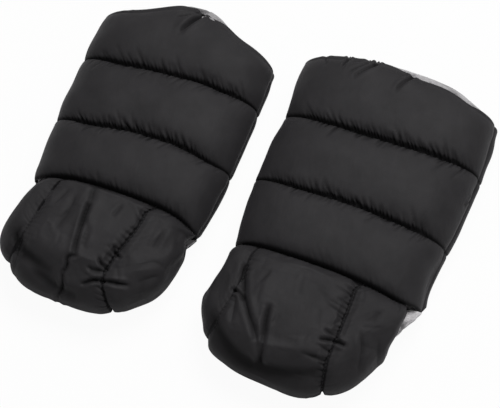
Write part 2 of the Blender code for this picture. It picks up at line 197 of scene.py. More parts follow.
def nylon(name):
    material = bpy.data.materials.new(name)
    cloth = Finish(material)
    place = cloth.place()
    flat = cloth.place("UV")
    # This attribute holds painted shade: the colour darkens towards near black in folds and seams, and
    # the cloth is a little rougher there.
    painted_shade = cloth.painted_shade()
    mottle = cloth.noise(place, MOTTLE_SCALE, 4, 0.6)
    open_cloth = cloth.ramp(mottle, ((0.3, NYLON_DARK), (0.7, NYLON_LIGHT)))
    cloth.set(base_color=cloth.mixed(painted_shade * PAINTED_SHADE_SHARE, open_cloth, PAINTED_SHADE_COLOUR))
    cloth.set(roughness=cloth.noise(place, HANDLED_SCALE, 3) * 0.12 + painted_shade * 0.2 + 0.50)
    cloth.set(sheen_weight=0.05, sheen_roughness=0.5, sheen_tint=NYLON_SHEEN, specular_ior_level=0.15)
    threads = {"Vector": flat, "Scale": THREADS_PER_METRE * WAVE_PERIOD}
    warp = cloth.node("ShaderNodeTexWave", {"bands_direction": "X"}, threads)
    weft = cloth.node("ShaderNodeTexWave", {"bands_direction": "Y"}, threads)
    bent = cloth.noise(cloth.mapped(place, RUMPLE_STRETCH), RUMPLE_SCALE)
    cloth.set(normal=cloth.bump(warp * weft, WEAVE_HEIGHT, cloth.bump(bent, RUMPLE_HEIGHT)))
    print(name, "has", len(cloth.tree.nodes), "nodes")
    return material


SHELL = nylon("black_nylon")

# %% [markdown]
# ## Fleece lining
# The lining is a light grey fleece with a short, slightly clumped pile. Real hair would be far
# too heavy for it, so two sizes of noise raise the surface, and its sheen gives the soft edge
# that a pile has.

# %% Fleece lining
# Painted light: both pile colours are lighter than the fleece's own grey, so that the fold raised into
# the shaded slot comes out light. The sleeves are darkened back by painted shade. The third colour is
# the dark grey that painted shade mixes towards.
FLEECE_SHADE = (0.66, 0.64, 0.66)
FLEECE_LIGHT = (0.90, 0.88, 0.90)
FLEECE_SHADE_COLOUR = (0.10, 0.095, 0.10, 1)
CLUMP_SCALE = 420
CLUMP_HEIGHT = 0.0016
FIBRE_SCALE = 1900
FIBRE_HEIGHT = 0.0005


def fleece(name):
    material = bpy.data.materials.new(name)
    cloth = Finish(material)
    place = cloth.place()
    clumps = cloth.noise(place, CLUMP_SCALE, 4, 0.65)
    open_pile = cloth.ramp(clumps, ((0.3, FLEECE_SHADE), (0.68, FLEECE_LIGHT)))
    # Painted shade darkens the pile towards the dark grey, by the amount each piece keeps.
    cloth.set(base_color=cloth.mixed(cloth.painted_shade(), open_pile, FLEECE_SHADE_COLOUR))
    cloth.set(roughness=0.95, sheen_weight=0.5, sheen_roughness=0.6, specular_ior_level=0.2)
    tufts = cloth.bump(clumps, CLUMP_HEIGHT)
    cloth.set(normal=cloth.bump(cloth.noise(place, FIBRE_SCALE), FIBRE_HEIGHT, tufts))
    print(name, "has", len(cloth.tree.nodes), "nodes")
    return material


LINING = fleece("grey_fleece")

# %% [markdown]
# ## Thread and press studs
# The thread is black polyester, twisted from two yarns, and a fine noise gives it their light and
# dark. The press studs are steel under black lacquer. A plain gloss would look like new plastic,
# so a noise makes it a little duller in places, as handling does.

# %% Thread and press studs
YARN_DARK = (0.006, 0.006, 0.007)
YARN_LIGHT = (0.022, 0.021, 0.023)
TWIST_SCALE = 2500
TWIST_HEIGHT = 0.0002
LACQUER_DARK = (0.028, 0.028, 0.030)
LACQUER_WORN = (0.050, 0.050, 0.053)
WEAR_SCALE = 300
TOUCH_SCALE = 900
ORANGE_PEEL_SCALE = 1500
ORANGE_PEEL_HEIGHT = 0.00005


def thread(name):
    material = bpy.data.materials.new(name)
    yarn = Finish(material)
    twist = yarn.noise(yarn.place(), TWIST_SCALE)
    yarn.set(base_color=yarn.ramp(twist, ((0.3, YARN_DARK), (0.7, YARN_LIGHT))))
    yarn.set(roughness=0.6, normal=yarn.bump(twist, TWIST_HEIGHT))
    print(name, "has", len(yarn.tree.nodes), "nodes")
    return material


def lacquer(name):
    material = bpy.data.materials.new(name)
    metal = Finish(material)
    place = metal.place()
    worn = metal.noise(place, WEAR_SCALE, 3)
    metal.set(base_color=metal.ramp(worn, ((0.3, LACQUER_DARK), (0.75, LACQUER_WORN))))
    metal.set(metallic=0.85, roughness=metal.noise(place, TOUCH_SCALE) * 0.2 + 0.25)
    metal.set(normal=metal.bump(metal.noise(place, ORANGE_PEEL_SCALE), ORANGE_PEEL_HEIGHT))
    print(name, "has", len(metal.tree.nodes), "nodes")
    return material


THREAD = thread("black_thread")
LACQUER = lacquer("black_lacquered_steel")

# %% [markdown]
# ## The shape of a muff
# Every sewn panel follows one surface, the hand side, and stands above it by the thickness of
# the padding. The cuff is a flattened sleeve whose section is a superellipse. The same formulas
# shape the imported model, so the looks fit it. They are written for whole arrays of points,
# because a fine cloth has tens of thousands of them.

# %% Sizes of the sewing pattern
TOE_SEAM_WIDTH = 172 * MM
WRIST_WIDTH = 184 * MM
CUFF_LENGTH = 190 * MM
SEAM_SHARES = (0.0, 66 / 190, 132 / 190, 1.0)
SIDE_SEAM_HEIGHT = 28 * MM
TOP_RISE = 21 * MM
UNDER_DROP = 17.5 * MM
RIM_BOW = 14 * MM
RIM_BOW_POWER = 6
TOP_POWER = 2.4
UNDER_POWER = 3.0
SEAM_LOFT = 4.4 * MM
TOP_LOFT = 15 * MM
UNDER_LOFT = 11 * MM
RIM_LOFT = 9 * MM
LINING_THICKNESS = 2.0 * MM
PAD_INSIDE = 2.4 * MM


def mix(start, end, share):
    return start + (end - start) * share


def signed_power(value, power):
    return np.copysign(np.abs(value) ** power, value)


def smooth_step(value):
    value = np.clip(value, 0, 1)
    return value * value * (3 - 2 * value)


def hump(distance, width):
    """One at no distance, about a third at the given width, and soon nothing beyond it."""
    return np.exp(-((distance / width) ** 2))


class Muff:
    """Where one muff lies and how large it is, read from the frame."""

    def __init__(self, side):
        low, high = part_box(side + "_top_shell")
        whole_low, whole_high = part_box("right_top_shell")
        self.side = side
        self.seed_step = {"right": 0, "left": 50}[side]
        self.size = (high.y - low.y) / (whole_high.y - whole_low.y)
        self.origin = np.array(((low.x + high.x) / 2, low.y, 0.0))
        print(side, "muff: size share", round(self.size, 3), "place", self.origin.round(4))


MUFFS = {side: Muff(side) for side in SIDES}


def cuff_surface(muff, angle, along):
    """Points and outward normals of the hand side of the cuff, in the muff's own place."""
    half_width = muff.size * mix(TOE_SEAM_WIDTH, WRIST_WIDTH, along) / 2 - SEAM_LOFT
    above = np.sin(angle) > -1e-9
    power = np.where(above, TOP_POWER, UNDER_POWER)
    rise = np.where(above, TOP_RISE, UNDER_DROP)
    across = signed_power(np.cos(angle), 2 / power)
    up = signed_power(np.sin(angle), 2 / power)
    bow = RIM_BOW * along**RIM_BOW_POWER * (1 - across**2)
    points = np.stack((
        half_width * across,
        muff.size * along * (CUFF_LENGTH + bow),
        SIDE_SEAM_HEIGHT + rise * up,
    ), -1)
    normals = np.stack((
        signed_power(across, power - 1) / half_width,
        0 * across,
        signed_power(up, power - 1) / rise,
    ), -1)
    return points, normals / np.linalg.norm(normals, axis=-1, keepdims=True)


# %% [markdown]
# ## Cloth from a grid
# A sewn panel is cut flat, so each one starts as a flat grid whose columns run across the muff
# and whose rows run along it. Its points then move to their places. The rows crowd together at
# the seams, where the cloth bends most. At the end the grid is extruded into a closed pad.

# %% Steps along a cloth
CURVE_STEPS = 61
CURVE_WINDOW = 7


def even_curve(values, points, span):
    """A smooth curve through given points, at many values."""
    fine = np.linspace(*span, CURVE_STEPS)
    line = np.pad(np.interp(fine, *zip(*points)), CURVE_WINDOW // 2, "edge")
    return np.interp(values, fine, np.convolve(line, np.ones(CURVE_WINDOW) / CURVE_WINDOW, "valid"))


def crowded(count, crowding):
    """Shares from nought to one that lie closer together at both ends."""
    even = np.linspace(0, 1, count + 1)
    return even - crowding * np.sin(2 * np.pi * even) / (2 * np.pi)


def even_path(path, count):
    """Parameter values that step evenly along a path, given as parameters and points."""
    values, points = path
    lengths = np.concatenate(([0], np.cumsum(np.linalg.norm(np.diff(points, axis=0), axis=1))))
    return np.interp(np.linspace(0, lengths[-1], count + 1), lengths, values), lengths[-1]


def grid_numbers(columns, rows):
    """Column and row number of each point of a cloth, as arrays of rows by columns."""
    return np.meshgrid(np.arange(columns + 1), np.arange(rows + 1))


# %% Cloth from a grid
MERGE_DISTANCE = 0.02 * MM


def cloth_grid(points):
    """A grid of cloth at the given points, and each of its points' place in their array."""
    rows, columns = points.shape[0] - 1, points.shape[1] - 1
    bm = bmesh.new()
    bmesh.ops.create_grid(bm, x_segments=columns, y_segments=rows, size=0.5)
    order = [
        round((vert.co.y + 0.5) * rows) * (columns + 1) + round((vert.co.x + 0.5) * columns)
        for vert in bm.verts
    ]
    for vert, place in zip(bm.verts, points.reshape(-1, 3)[order].tolist()):
        vert.co = place
    return bm, order


def outward_normals(points, outward):
    """Normals of a placed cloth, on the side that the given directions point to."""
    normal = np.cross(np.gradient(points, axis=1), np.gradient(points, axis=0))
    normal /= np.maximum(np.linalg.norm(normal, axis=-1, keepdims=True), 1e-12)
    return normal * np.where((normal * outward).sum(axis=-1, keepdims=True) < 0, -1, 1)


def closed_pad(name, outside, inside, flat, finish, painted_shade=None, joined=False):
    """Extrudes a placed cloth to its inside points, and makes the closed piece from it.

    flat holds the UV place of each point, in metres on the uncut cloth, and the array after the finish
    how far each point's colour is darkened as painted shade. joined closes the cloth into a tube.
    """
    bm, order = cloth_grid(outside)
    number = bm.verts.layers.int.new("number")
    # Each point keeps its painted shade in an attribute, which the materials read.
    depth = bm.verts.layers.float.new("painted_shade")
    shade_per_point = np.zeros(outside.shape[:2]) if painted_shade is None else painted_shade
    for vert, place, point_shade in zip(bm.verts, order, shade_per_point.reshape(-1)[order].tolist()):
        vert[number] = place
        vert[depth] = point_shade
    if joined:
        bmesh.ops.remove_doubles(bm, verts=bm.verts, dist=MERGE_DISTANCE)
    outer = set(bm.verts)
    bmesh.ops.extrude_face_region(bm, geom=bm.faces[:] + bm.edges[:], use_keep_orig=True)
    hidden = inside.reshape(-1, 3).tolist()
    for vert in bm.verts:
        if vert not in outer:
            vert.co = hidden[vert[number]]
    bmesh.ops.recalc_face_normals(bm, faces=bm.faces)
    piece = finished(name, bm, finish)
    mesh = piece.data
    numbers = np.empty(len(mesh.vertices), np.int32)
    mesh.attributes["number"].data.foreach_get("value", numbers)
    corners = np.empty(len(mesh.loops), np.int32)
    mesh.loops.foreach_get("vertex_index", corners)
    cloth_map = mesh.uv_layers.new(name="cloth")
    cloth_map.data.foreach_set("uv", flat.reshape(-1, 2)[numbers[corners]].ravel())
    mesh.attributes.remove(mesh.attributes["number"])
    return piece


def finished(name, bm, finish):
    """A new piece at the origin, with its place in its mesh."""
    mesh = bpy.data.meshes.new(name)
    bm.to_mesh(mesh)
    bm.free()
    mesh.materials.append(finish)
    mesh.shade_smooth()
    piece = bpy.data.objects.new(name, mesh)
    bpy.context.scene.collection.objects.link(piece)
    print(name, "has", len(mesh.polygons), "faces")
    return piece


# %% [markdown]
# ## Puckers
# A row of stitches draws the nylon together, so short folds run away from it on both sides.
# They could be drawn by a bump alone, but then the outline would stay smooth. Here each fold is
# a groove in the mesh with its own place, reach, lean and width, from a seeded generator.

# %% Puckers
def puckers(beside, away, length, seed, spacing=3.0 * MM, reach=8.5 * MM, lean=-0.5):
    """How deep the folds cut at each point: beside runs along the stitches, away from them."""
    draw = np.random.default_rng(seed)
    depth = np.zeros_like(away)
    places = np.linspace(0, 1, 12)
    strength = draw.uniform(0.4, 1.0, len(places))
    place = 0.0
    while place < length:
        place += spacing * draw.uniform(0.6, 1.5)
        far = reach * draw.uniform(0.55, 1.2) * (1 + 0.8 * (draw.uniform() > 0.85))
        slant = draw.normal(lean, 0.22)
        wide = spacing * draw.uniform(0.22, 0.34)
        sharp = draw.uniform(0.45, 1.0) * np.interp(place / length, places, strength)
        off = np.abs(beside - place - slant * away) / (wide * (1 + 0.6 * away / far))
        depth += sharp * np.exp(-(off**1.3)) * np.clip(1 - away / far, 0, 1) ** 0.8
    return depth


def rumple(first, second, cells, seed):
    """A smooth random height between minus one and one, over a lattice of cells."""
    draw = np.random.default_rng(seed)
    lattice = draw.uniform(-1, 1, (cells[0] + 2, cells[1] + 2))
    u = np.clip(first, 0, 1) * cells[0]
    v = np.clip(second, 0, 1) * cells[1]
    i = u.astype(int)
    j = v.astype(int)
    s = smooth_step(u - i)
    t = smooth_step(v - j)
    near = mix(lattice[i, j], lattice[i + 1, j], s)
    return mix(near, mix(lattice[i, j + 1], lattice[i + 1, j + 1], s), t)


# %% Long tucks
def rounded(path):
    """A path with its corners cut off twice."""
    path = np.array(path, float)
    for _ in range(2):
        near = mix(path[:-1], path[1:], 0.25)
        far = mix(path[:-1], path[1:], 0.75)
        path = np.concatenate((path[:1], np.stack((near, far), 1).reshape(-1, 2), path[-1:]))
    return path


def from_path(points, path):
    """Distance in plan of each point from a path given in millimetres, and how far along it is."""
    nearest = np.full(points.shape[:-1], 1e9)
    progress = np.zeros(points.shape[:-1])
    steps = rounded(path) * MM
    for number, (start, end) in enumerate(zip(steps, steps[1:])):
        line = end - start
        share = np.clip(((points[..., :2] - start) @ line) / (line @ line), 0, 1)
        gap = np.linalg.norm(points[..., :2] - start - share[..., None] * line, axis=-1)
        closer = gap < nearest
        nearest[closer] = gap[closer]
        progress[closer] = (number + share[closer]) / (len(steps) - 1)
    return nearest, progress


WIDE_TUCK = 5
RIDGE_SHARE = 0.35


def tuck_depth(tucks, points):
    """How deep some long tucks cut, with a soft ridge along both sides of each."""
    depth = np.zeros(points.shape[:-1])
    for path, width, deep in tucks:
        gap, progress = from_path(points, path)
        fade = np.sin(np.pi * np.clip(progress * 0.9 + 0.08, 0, 1)) ** 0.6
        groove = np.exp(-((gap / (0.55 * width * MM)) ** (1.3 if width < WIDE_TUCK else 2)))
        ridge = hump(gap - 1.5 * width * MM, 0.8 * width * MM)
        depth += deep * MM * fade * (groove - RIDGE_SHARE * ridge)
    return depth


# %% [markdown]
# ## Filling the cloth
# Wadding pushes the shell outwards, and the stitches hold it back. Cloth simulation does the
# same: the rows of stitches are pinned, air pressure fills the channels, and the cloth is cut a
# little too long near the stitches, as gathered cloth is. How far a point moves is capped, less
# far in the middle of a channel, where real wadding keeps the cloth smooth.

# %% Filling the cloth
FILL_PRESSURE = 3.0
FILL_CAP = 3.0 * MM
SWELL_WINDOW = 13
SWELL_KEPT = 0.25
CLOTH_SETTINGS = {
    "quality": 5,
    "mass": 0.02,
    "air_damping": 2,
    "tension_stiffness": 15,
    "compression_stiffness": 15,
    "shear_stiffness": 5,
    "bending_stiffness": 0.05,
    "use_pressure": True,
    "uniform_pressure_force": FILL_PRESSURE,
    "vertex_group_mass": "stitched",
    "vertex_group_shrink": "gathered",
    "shrink_min": 0.0,
}


def blurred(values, window):
    """Running mean over both directions of an array of rows by columns."""
    for axis in (0, 1):
        pad = [(0, 0)] * values.ndim
        pad[axis] = (window // 2, window // 2)
        total = np.cumsum(np.pad(values, pad, "edge"), axis=axis)
        total = np.concatenate((np.zeros_like(total.take([0], axis)), total), axis=axis)
        after = total.take(range(window, total.shape[axis]), axis)
        values = (after - total.take(range(after.shape[axis]), axis)) / window
    return values


def finer(values):
    """The same array with a mean between each two rows and columns."""
    for axis in (0, 1):
        count = values.shape[axis]
        between = (values.take(range(1, count), axis) + values.take(range(count - 1), axis)) / 2
        places = np.arange(1, count)
        values = np.insert(values, places, between, axis=axis)
    return values


def fill_cloth(points, held, gathered, freedom, growth=0.08, frames=14):
    """How pressure moves a placed cloth: held points stay, and freedom is a share of the move.

    A grid of half as many rows and columns is simulated. growth is how much too long the cloth
    is cut where it is gathered. The mean swell is mostly taken out, so that the folds stay and
    the pad keeps its size.
    """
    before = points[::2, ::2]
    bm, order = cloth_grid(before)
    mesh = bpy.data.meshes.new("filling")
    bm.to_mesh(mesh)
    bm.free()
    piece = bpy.data.objects.new("filling", mesh)
    bpy.context.scene.collection.objects.link(piece)
    pins = piece.vertex_groups.new(name="stitched")
    pins.add(np.nonzero(held[::2, ::2].reshape(-1)[order])[0].tolist(), 1.0, "REPLACE")
    loose = piece.vertex_groups.new(name="gathered")
    tenths = np.rint(gathered[::2, ::2].reshape(-1)[order] * 10)
    for step in range(1, 11):
        loose.add(np.nonzero(tenths == step)[0].tolist(), step / 10, "REPLACE")
    cloth = piece.modifiers.new("wadding", "CLOTH")
    for name, value in CLOTH_SETTINGS.items():
        setattr(cloth.settings, name, value)
    cloth.settings.shrink_max = -growth
    cloth.settings.effector_weights.gravity = 0
    cloth.collision_settings.use_collision = False
    cloth.point_cache.frame_start = 1
    cloth.point_cache.frame_end = frames
    scene = bpy.context.scene
    for step in range(1, frames + 1):
        scene.frame_set(step)
    settled = piece.evaluated_get(bpy.context.evaluated_depsgraph_get()).data
    after = np.empty(len(settled.vertices) * 3)
    settled.vertices.foreach_get("co", after)
    move = np.zeros((before.shape[0] * before.shape[1], 3))
    move[order] = after.reshape(-1, 3)
    move = move.reshape(before.shape) - before
    far = np.linalg.norm(move, axis=-1, keepdims=True)
    move *= np.minimum(1, FILL_CAP / np.maximum(far, 1e-9))
    move -= (1 - SWELL_KEPT) * blurred(move, SWELL_WINDOW)
    scene.frame_set(1)
    bpy.data.objects.remove(piece)
    move = finer(move) * (freedom * (1 - held))[..., None]
    print("filled: points moved", (np.linalg.norm(move, axis=-1).mean() / MM).round(2), "mm on average")
    return move


# %% [markdown]
# ## Upper and under panels of the cuff
# Each panel of the cuff has three quilted channels. The quilt lines of the real pair aren't
# quite straight, so a few small drifts along each line follow the photograph. At the wrist the
# shell turns round the roll of the rim, as far as the photograph shows it at that place.

# %% Quilt lines
LINE_DRIFTS = {
    "left": (
        ((0, -5.0), (0.25, 1.0), (0.5, 2.4), (0.75, 1.9), (0.88, -0.3), (1, -5.0)),
        ((0, -6.4), (0.25, -7.0), (0.5, -0.9), (0.65, 0.0), (0.75, -1.6), (0.88, -4.6), (1, -2.5)),
        ((0, -2.7), (0.25, -4.6), (0.5, -0.5), (0.65, 2.3), (0.75, 1.5), (1, 3.4)),
        (
            (0, -10), (0.2, -12), (0.3, -9), (0.36, -5), (0.46, 1.5), (0.53, 3.2), (0.58, 3.4),
            (0.66, -4), (0.75, -9.5), (1, -8),
        ),
    ),
    "right": (
        ((0, -1.7), (0.1, -0.5), (0.25, -1.3), (0.5, -1.8), (0.75, -5.3), (0.88, -8.0), (1, -3.5)),
        ((0, -2.5), (0.25, -5.2), (0.5, -4.3), (0.75, -6.6), (1, -7.7)),
        ((0, 0.0), (0.25, -2.2), (0.5, -2.5), (0.75, 0.2), (1, 3.0)),
        ((0, 1), (0.25, -2), (0.5, -3), (0.75, -0.5), (0.9, -3.5), (1, 0)),
    ),
}
LINE_SHIFTS = {
    "left": ((2.0, -5.0), (0.1, -0.5), (1.8, -1.4), (5.2, -4)),
    "right": ((-1.5, -0.5), (-4.8, -0.7), (1.2, 4.0), (1, 0)),
}


def drawn(side, across, along, ends_only=False):
    """How far the cloth is drawn sideways and towards the wrist, across from minus one to one.

    ends_only keeps the lines of the under panel, which the photograph doesn't show, plain.
    """
    share = (across + 1) / 2
    move = np.zeros((*across.shape, 3))
    for number, (drifts, shifts) in enumerate(zip(LINE_DRIFTS[side], LINE_SHIFTS[side])):
        if ends_only:
            level = ((0.1, 0), (0.9, 0)) if number == 0 else ()
            drifts = (drifts[0], *level, drifts[-1])
        only_this = [float(number == other) for other in range(len(SEAM_SHARES))]
        weight = np.interp(along, SEAM_SHARES, only_this)
        move[..., 0] += weight * np.interp(share, (0, 1), shifts)
        move[..., 1] += weight * even_curve(share, drifts, (0, 1))
    return move * MM


# %% Padding of the cuff
CHANNEL_ROWS = 34
CHANNEL_CROWDING = 0.72
CUFF_COLUMNS = {"top": 376, "under": 240}
CUFF_ANGLES = {"top": (math.pi, 0.0), "under": (0.0, -math.pi)}
ROLL_ROWS = 8
CHANNEL_POWER = 0.3
SIDE_LOFTS = {
    "left": {"top": (5.0 * MM, 5.4 * MM), "under": (4.6 * MM, 6.2 * MM)},
    "right": {"top": (5.0 * MM, 5.4 * MM), "under": (4.6 * MM, 9.6 * MM)},
}
FIRST_CHANNEL_TRIMS = {"left": 0.0, "right": 4.3 * MM}
SIDE_SCALLOP = 2.4 * MM
SIDE_LOFT_POWER = 5
SIDE_SEAM_TURN = 0.16
CROWN_LOFTS = {"top": TOP_LOFT, "under": UNDER_LOFT}
LEAST_LOFT = 2.7 * MM
HINGE_TAPER = 0.36
HINGE_CALM = 0.1
RIM_CALM = 0.08
CREASE_DEPTH = 1.7 * MM
CREASE_WIDTH = 1.4 * MM
# Painted shade: the share of each millimetre of fold that darkens, and the shade on the wall just
# wrist-side of each quilt line, with its reach.
CREASE_SHADE = 0.35
WALL_SHADE = 0.45
WALL_SHADE_WIDTH = 3 * MM
CALM_REACH = 12 * MM
STITCH_CALM = 1.0 * MM


def seam_swell(value, seams, power):
    """Share of full loft at a value between seams: none at a seam and one halfway between two."""
    swell = np.zeros_like(value)
    for start, end in zip(seams, seams[1:]):
        inside = (value >= start) & (value <= end)
        wave = np.sin(np.pi * (value[inside] - start) / (end - start))
        swell[inside] = np.maximum(wave, 0) ** power
    return swell


def cuff_loft(side, kind, angle, along):
    """Thickness of the padded panel: full in the middle of each channel, pressed at each seam."""
    crown = CROWN_LOFTS[kind]
    swell = seam_swell(along, SEAM_SHARES, CHANNEL_POWER)
    rim = (RIM_LOFT - SEAM_LOFT) / (crown - SEAM_LOFT)
    swell = np.where(along > (SEAM_SHARES[-2] + 1) / 2, np.maximum(swell, rim), swell)
    flatness = 1 - np.abs(np.cos(angle)) ** SIDE_LOFT_POWER
    at_side = np.interp(np.cos(angle), (-0.6, 0.6), SIDE_LOFTS[side][kind])
    at_side = at_side + SIDE_SCALLOP * (swell - 0.6)
    first_channel = np.sin(np.pi * np.minimum(along / SEAM_SHARES[1], 1))
    right_half = smooth_step((np.cos(angle) - 0.3) / 0.5)
    at_side = at_side - FIRST_CHANNEL_TRIMS[side] * first_channel * right_half
    from_side = np.arcsin(np.clip(np.abs(np.sin(angle)), 0, 1)) / SIDE_SEAM_TURN
    at_side = mix(SEAM_LOFT, at_side, np.clip(from_side, 0, 1) ** 0.5)
    return mix(at_side, SEAM_LOFT + (crown - SEAM_LOFT) * swell, flatness)


def from_seams(along):
    """Distance of each point from the nearest row of stitches, and which row that is."""
    gaps = np.stack([np.abs(along - seam) for seam in SEAM_SHARES[:-1]]) * CUFF_LENGTH
    return gaps.min(axis=0), gaps.argmin(axis=0)


# %% Gathers along the quilt lines
PUCKER_SPACING = 2.8 * MM
PUCKER_STRENGTHS = {"left": (0.4, 1, 1), "right": (0.2, 1, 1)}
TOE_SIDE_PUCKERS = (-1, 3.8 * MM, 7.5 * MM, -0.55)
WRIST_SIDE_PUCKERS = (1, 3.4 * MM, 9 * MM, -0.85)


def line_folds(side, beside, along, width, seed):
    """How deep the puckers cut on both sides of each quilt line."""
    gap, nearest = from_seams(along)
    folds = np.zeros_like(gap)
    for number, strength in enumerate(PUCKER_STRENGTHS[side]):
        for sense, deep, reach, lean in (TOE_SIDE_PUCKERS, WRIST_SIDE_PUCKERS):
            chosen = (nearest == number) & (sense * (along - SEAM_SHARES[number]) >= 0)
            folds[chosen] = strength * deep * puckers(
                beside[chosen], gap[chosen], width, seed + 10 * number + sense,
                PUCKER_SPACING, reach, lean,
            )
    return folds


# %% Rim of the shell
TOP_TUCKS = {
    "left": (
        (((11, 199), (7, 192), (1, 181), (-5, 169)), 3.0, 4.4),
        (((9, 198), (-3, 188), (-14, 182)), 2.2, 2.2),
        (((-58, 186), (-60, 176)), 2.6, 1.4),
    ),
    "right": (
        (((-51, 200), (-51, 195), (-53, 188)), 1.8, 2.2),
        (((-23, 204), (-26, 199), (-32, 192), (-40, 181)), 2.0, 2.8),
        (((-30, 203), (-37, 194), (-46, 184)), 2.4, 1.4),
        (((12, 203), (9, 199), (4, 191), (-1, 180)), 2.2, 2.4),
        (((-72, 196), (-66, 186)), 2.4, 1.0),
        (((93, 118), (88, 113), (84, 109)), 1.4, 1.4),
        (((95, 112), (89, 108), (84, 103)), 1.4, 1.6),
        (((95, 107), (90, 104)), 1.4, 1.2),
    ),
}
UNDER_TURN = 0.62
SHELL_TURNS = {
    "left": ((-1, 0.62), (-0.12, 0.62), (0.04, 0.02), (0.24, 0.0), (0.46, 0.62), (1, 0.62)),
    "right": ((-1, 0.62), (-0.22, 0.62), (-0.02, 0.1), (0.1, 0.0), (0.74, 0.0), (0.88, 0.5), (1, 0.5)),
}
SHELL_SET_BACKS = {
    "left": ((-0.05, 0), (0.02, 3.6), (0.08, 4.4), (0.15, 2.8), (0.25, 1.4), (0.33, 0)),
    "right": (
        (-0.05, 0), (0.03, 2.4), (0.1, 2.8), (0.2, 2.4), (0.34, 1.4), (0.5, 2.2), (0.7, 2.0), (0.84, 0),
    ),
}


def shell_turn(side, kind, across):
    """How far the shell turns round the roll of the rim, as a share of half a turn."""
    if kind == "under":
        return np.full_like(across, UNDER_TURN)
    return even_curve(across, SHELL_TURNS[side], (-1, 1))


def shell_set_back(side, across):
    """How far the shell's upper edge stays short of the rim, where the lining shows."""
    return even_curve(across, SHELL_SET_BACKS[side], (-1, 1)) * MM


def rim_roll(muff, kind, angle, turn, shrink):
    """Points on the rounded end of the rim, with turn from nought outside to one at the hand."""
    end = np.ones_like(angle)
    point, normal = cuff_surface(muff, angle, end)
    radius = cuff_loft(muff.side, kind, angle, end)[..., None] / 2
    sweep = turn[..., None] * np.pi
    point += drawn(muff.side, np.cos(angle), end, kind == "under")
    round_it = normal * np.cos(sweep) + np.array((0, 1.0, 0)) * np.sin(sweep)
    return point + normal * radius + round_it * (radius - shrink)


def carve(outside, folds, place, normal):
    """Presses folds into a placed cloth, along its own normals, and keeps it off its inside."""
    outside = outside - outward_normals(outside, normal) * folds[..., None]
    short = LEAST_LOFT - ((outside - place) * normal).sum(axis=-1)
    return outside + normal * np.maximum(short, 0)[..., None]


# %% Panels of the cuff
ARC_STEPS = 2001
PANEL_MIDDLE = 9 * MM
PANEL_CELLS = (9, 9)
PANEL_WAVE = 0.9 * MM
GATHER_REACH = 8 * MM
SIDE_HELD = 0.995
ROLLED_SHELL = 1.2 * MM
THREAD_PROUD = 0.25 * MM
PANEL_FILLS = {"top": 0.7, "under": 0.6}
PANEL_SEEDS = {"right": {"top": 11, "under": 31}, "left": {"top": 51, "under": 71}}


